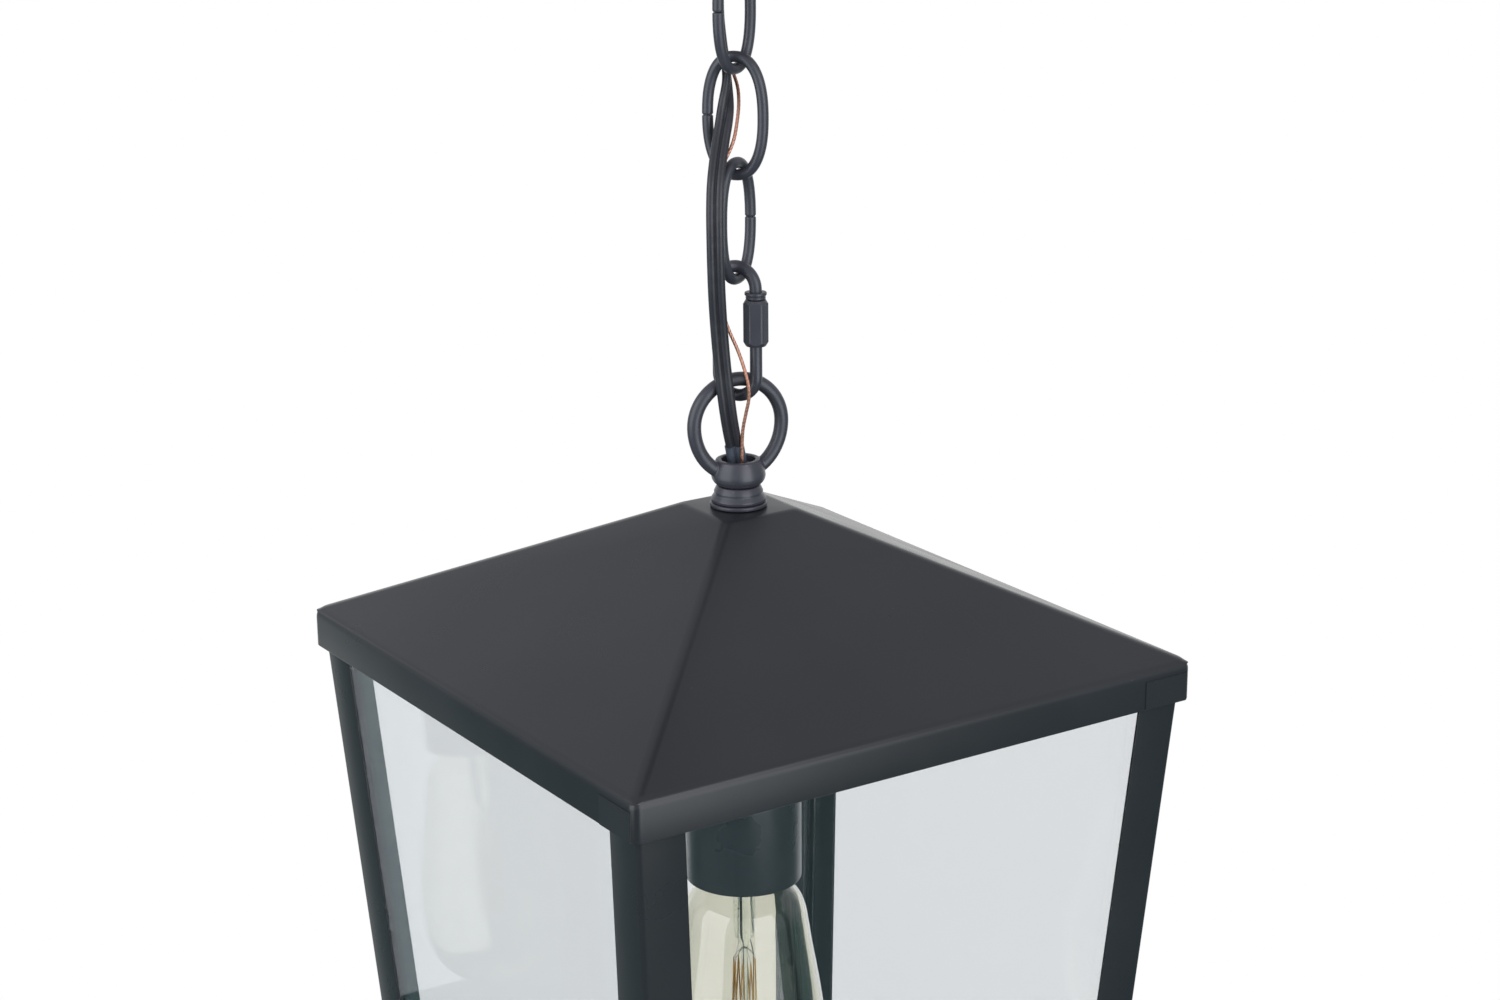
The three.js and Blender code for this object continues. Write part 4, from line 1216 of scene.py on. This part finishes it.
# The envelope's outline as (radius, depth below the base's foot), in millimetres.
BULB_OUTLINE = [
    (11.6, -2), (11.7, 1), (12.6, 3.4), (15.0, 6.4), (18.6, 9.8), (22.0, 13.6), (23.9, 18),
    (25.2, 25), (26.6, 34), (28.4, 44), (30.2, 55), (31.4, 65), (31.95, 75), (31.7, 84),
    (30.2, 92.5), (27.2, 100.5), (22.4, 107), (15.6, 111.4), (7.6, 113.2), (0, 113.4),
]
BULB_GLASS = mm(0.8)
# The filament is strung in turns between upper and lower hooks: depth, radius, and where each
# hook's support leaves the rod, all in millimetres below the foot's top or from the axis.
FILAMENT_TURNS = 8
HOOK_DEPTHS = (39, 84)
HOOK_RADII = (4.3, 5.6)
SUPPORT_DEPTHS = (33.5, 82.6)
SUPPORT_RISES = (2.4, -1.2)
SUPPORT_WIRE, LEAD_WIRE, FILAMENT_WIRE = mm(0.16), mm(0.25), mm(0.28)
LEAD_LINE = ((1.6, 3), (2.0, 20), (2.4, 30), (3.6, 35), (4.3, 39))  # distance out, depth


def make_envelope():
    """The tapered glass, from its neck in the base down to the round tip."""
    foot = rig.box("bulb_base")[0].z
    line = spline([(r, 0, -d) for r, d in BULB_OUTLINE], 1.2)
    outer = [(p.x * MM, foot + p.z * MM) for p in line]
    inner = []
    for i, (r, z) in enumerate(outer):
        before, after = outer[max(i - 1, 0)], outer[min(i + 1, len(outer) - 1)]
        slope = Vector((after[0] - before[0], after[1] - before[1])).normalized()
        inner.append((max(r + slope.y * BULB_GLASS, 0), z - slope.x * BULB_GLASS))
    inner[-1] = (0, outer[-1][1] + BULB_GLASS)
    outer[-1] = (0, outer[-1][1])
    piece = new_piece("bulb_envelope_blown", lathe(inner[::-1] + outer, 96), 60)
    dress(piece, "bulb_glass", "bulb", ["bulb_envelope"])


def make_bulb_inside():
    """The glass foot with its pinch and rod, the lead-in and support wires, and the filament."""
    foot_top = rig.box("bulb_foot")[1].z

    def z(depth):
        return foot_top - mm(depth)

    tube = [
        (0, z(0)), (mm(9.6), z(0)), (mm(9.4), z(1.2)), (mm(6.4), z(4.4)), (mm(4.6), z(9)),
        (mm(4.3), z(14)), (mm(4.3), z(26)), (mm(3.6), z(29.5)), (mm(1.7), z(31.5)),
        (mm(1.3), z(36)), (mm(1.3), z(82)), (mm(2.0), z(83.5)), (mm(1.6), z(85)), (0, z(85.4)),
    ]
    foot = new_piece("bulb_foot_flare", lathe(tube, 40), 60)
    dress(foot, "bulb_foot_glass", "bulb", ["bulb_foot"])
    supports = []
    hooks = []
    for i in range(2 * FILAMENT_TURNS - 1):
        row = i % 2  # 0 for an upper hook, 1 for a lower one
        angle = math.pi * i / FILAMENT_TURNS
        radius = mm(HOOK_RADII[row])
        hook = Vector((radius * math.cos(angle), radius * math.sin(angle), z(HOOK_DEPTHS[row])))
        hooks.append(hook)
        rod = Vector((0, 0, z(SUPPORT_DEPTHS[row])))
        level = Vector((hook.x * 0.7, hook.y * 0.7, hook.z + mm(SUPPORT_RISES[row])))
        line = spline([rod, rod.lerp(level, 0.5), level, hook], mm(1.5))
        supports.append(wire(line, SUPPORT_WIRE, 6))
    dress(new_piece("bulb_supports", joined(*supports), 60), "zinc", "bulb")
    strand = []
    for a, b in zip(hooks, hooks[1:]):
        strand += [a.lerp(b, k / 20) for k in range(20)]
    strand.append(hooks[-1])
    filament = new_piece("bulb_filament_strung", wire(strand, FILAMENT_WIRE, 6), 60)
    dress(filament, "filament", "bulb", ["bulb_filament"])
    leads = []
    for side in (-1, 1):
        line = spline([(side * mm(out), 0, z(depth)) for out, depth in LEAD_LINE], mm(1.5))
        leads.append(wire(line, LEAD_WIRE, 6))
    dress(new_piece("bulb_leads", joined(*leads), 60), "zinc", "bulb")


def make_bushing():
    """The grey sleeve where the cord goes down into the roof's hub."""
    low, high = mm(-257.5), mm(-249.5)
    line = [point for point in wire_line(CORD_ROUTE, mm(1)) if low < point.z < high]
    section = [(x * 1.13, y * 1.3) for x, y in cord_section()]
    shape = sweep(line, section, lambda i, tangent: turned(0))
    piece = new_piece("cord_bushing", shape, 50)
    grey = plastic("bushing_grey", (0.06, 0.07, 0.095), (0.10, 0.12, 0.15), 0.4)
    dress(piece, "cord_jacket", "lantern", look=grey)


make_cup()
make_bulb_base()
make_envelope()
make_bulb_inside()
make_bushing()

# ---- CAD nodes that show as they are ----

for subpart in frame["record"]["subparts"]:
    node = frame["nodes"][subpart["node"]]
    if not node.hide_render:
        node.data.materials.clear()
        node.data.materials.append(LOOKS[subpart["material_slot"]])

# ---- Studio ----

FLOOR_HEIGHT = -2.4
FLOOR_RADIUS = 1.8
FLOOR_THICKNESS = 0.02
LAMP_COLOUR = (0.95, 0.96, 1.0)
LAMP_TARGET = (0, 0, -0.35)
BACKDROP = (0.55, 0.83, -0.1)  # the direction of the white backdrop's middle
ROOM_LOW = (0.085, 0.155, 0.155)
ROOM_HIGH = (0.50, 0.51, 0.54)


def make_floor():
    look = Look("pale_floor", roughness=0.6)
    look.colour(look.mixed(look.noise(3, 2), (0.86, 0.86, 0.86), (0.9, 0.9, 0.9)))
    under = FLOOR_HEIGHT - FLOOR_THICKNESS
    outline = [(0, FLOOR_HEIGHT), (FLOOR_RADIUS, FLOOR_HEIGHT), (FLOOR_RADIUS, under), (0, under)]
    floor = new_piece("floor", lathe(outline, 96))
    floor.data.materials.append(look.material)
    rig.stage(floor)


def area_light(name, place, size, power):
    lamp = bpy.data.lights.new(name, "AREA")
    lamp.shape = "RECTANGLE"
    lamp.size, lamp.size_y = size
    lamp.energy = power
    lamp.color = LAMP_COLOUR
    holder = bpy.data.objects.new(name, lamp)
    holder.location = place
    aim = Vector(LAMP_TARGET) - Vector(place)
    holder.rotation_euler = aim.to_track_quat("-Z", "Y").to_euler()
    bpy.context.scene.collection.objects.link(holder)


def make_surroundings():
    """A white sweep for the eye, also through the glass, and a softly graded room for the light:
    a white backdrop behind the lantern, dim and slightly green low down at the front, grey
    overhead."""
    world = bpy.data.worlds.new("studio")
    bpy.context.scene.world = world
    world.use_nodes = True
    nodes, links = world.node_tree.nodes, world.node_tree.links
    nodes.clear()

    def graded(source, low, high, out_low, out_high):
        grade = nodes.new("ShaderNodeMapRange")
        grade.interpolation_type = "SMOOTHSTEP"
        for key, value in zip(RANGE_SOCKETS, (low, high, out_low, out_high)):
            grade.inputs[key].default_value = value
        links.new(source, grade.inputs["Value"])
        return grade.outputs["Result"]

    def mixed(factor, first, second):
        mix = nodes.new("ShaderNodeMix")
        mix.data_type = "RGBA"
        links.new(factor, mix.inputs["Factor"])
        for socket, value in ((mix.inputs[6], first), (mix.inputs[7], second)):
            if isinstance(value, tuple):
                socket.default_value = (*value, 1)
            else:
                links.new(value, socket)
        return mix.outputs[2]

    def combined(operation, first, second):
        maths = nodes.new("ShaderNodeMath")
        maths.operation = operation
        links.new(first, maths.inputs[0])
        if isinstance(second, float):
            maths.inputs[1].default_value = second
        else:
            links.new(second, maths.inputs[1])
        return maths.outputs[0]

    place = nodes.new("ShaderNodeTexCoord").outputs["Generated"]
    apart = nodes.new("ShaderNodeSeparateXYZ")
    links.new(place, apart.inputs[0])
    behind = nodes.new("ShaderNodeVectorMath")
    behind.operation = "DOT_PRODUCT"
    behind.inputs[1].default_value = BACKDROP
    links.new(place, behind.inputs[0])
    room = mixed(graded(apart.outputs["Z"], -0.35, 0.25, 0, 1), ROOM_LOW, ROOM_HIGH)
    low_enough = graded(apart.outputs["Z"], 0.05, 0.55, 1, 0)
    backdrop = graded(behind.outputs["Value"], 0.55, 0.8, 0, 1)
    room = mixed(combined("MULTIPLY", low_enough, backdrop), room, (1.0, 1.0, 1.0))
    around = nodes.new("ShaderNodeBackground")
    links.new(room, around.inputs["Color"])
    seen = nodes.new("ShaderNodeBackground")
    seen.inputs["Color"].default_value = (1, 1, 1, 1)
    path = nodes.new("ShaderNodeLightPath")
    bounces = combined("ADD", path.outputs["Glossy Depth"], path.outputs["Diffuse Depth"])
    through = combined("LESS_THAN", bounces, 0.5)
    through = combined("MULTIPLY", through, path.outputs["Is Transmission Ray"])
    mix = nodes.new("ShaderNodeMixShader")
    links.new(combined("MAXIMUM", through, path.outputs["Is Camera Ray"]), mix.inputs["Fac"])
    links.new(around.outputs["Background"], mix.inputs[1])
    links.new(seen.outputs["Background"], mix.inputs[2])
    output = nodes.new("ShaderNodeOutputWorld")
    links.new(mix.outputs["Shader"], output.inputs["Surface"])


make_floor()
make_surroundings()
area_light("box_left", (-1.75, 0.03, 0.05), (1.7, 2.0), 21)
area_light("box_right", (0.18, -1.72, -0.15), (1.35, 2.1), 20)
bpy.context.scene.view_settings.view_transform = "Standard"

visual_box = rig.bounds()
size = {"cad": [list(end) for end in cad_box], "visual": [list(end) for end in visual_box]}
with open("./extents.json", "w") as file:
    json.dump(size, file)
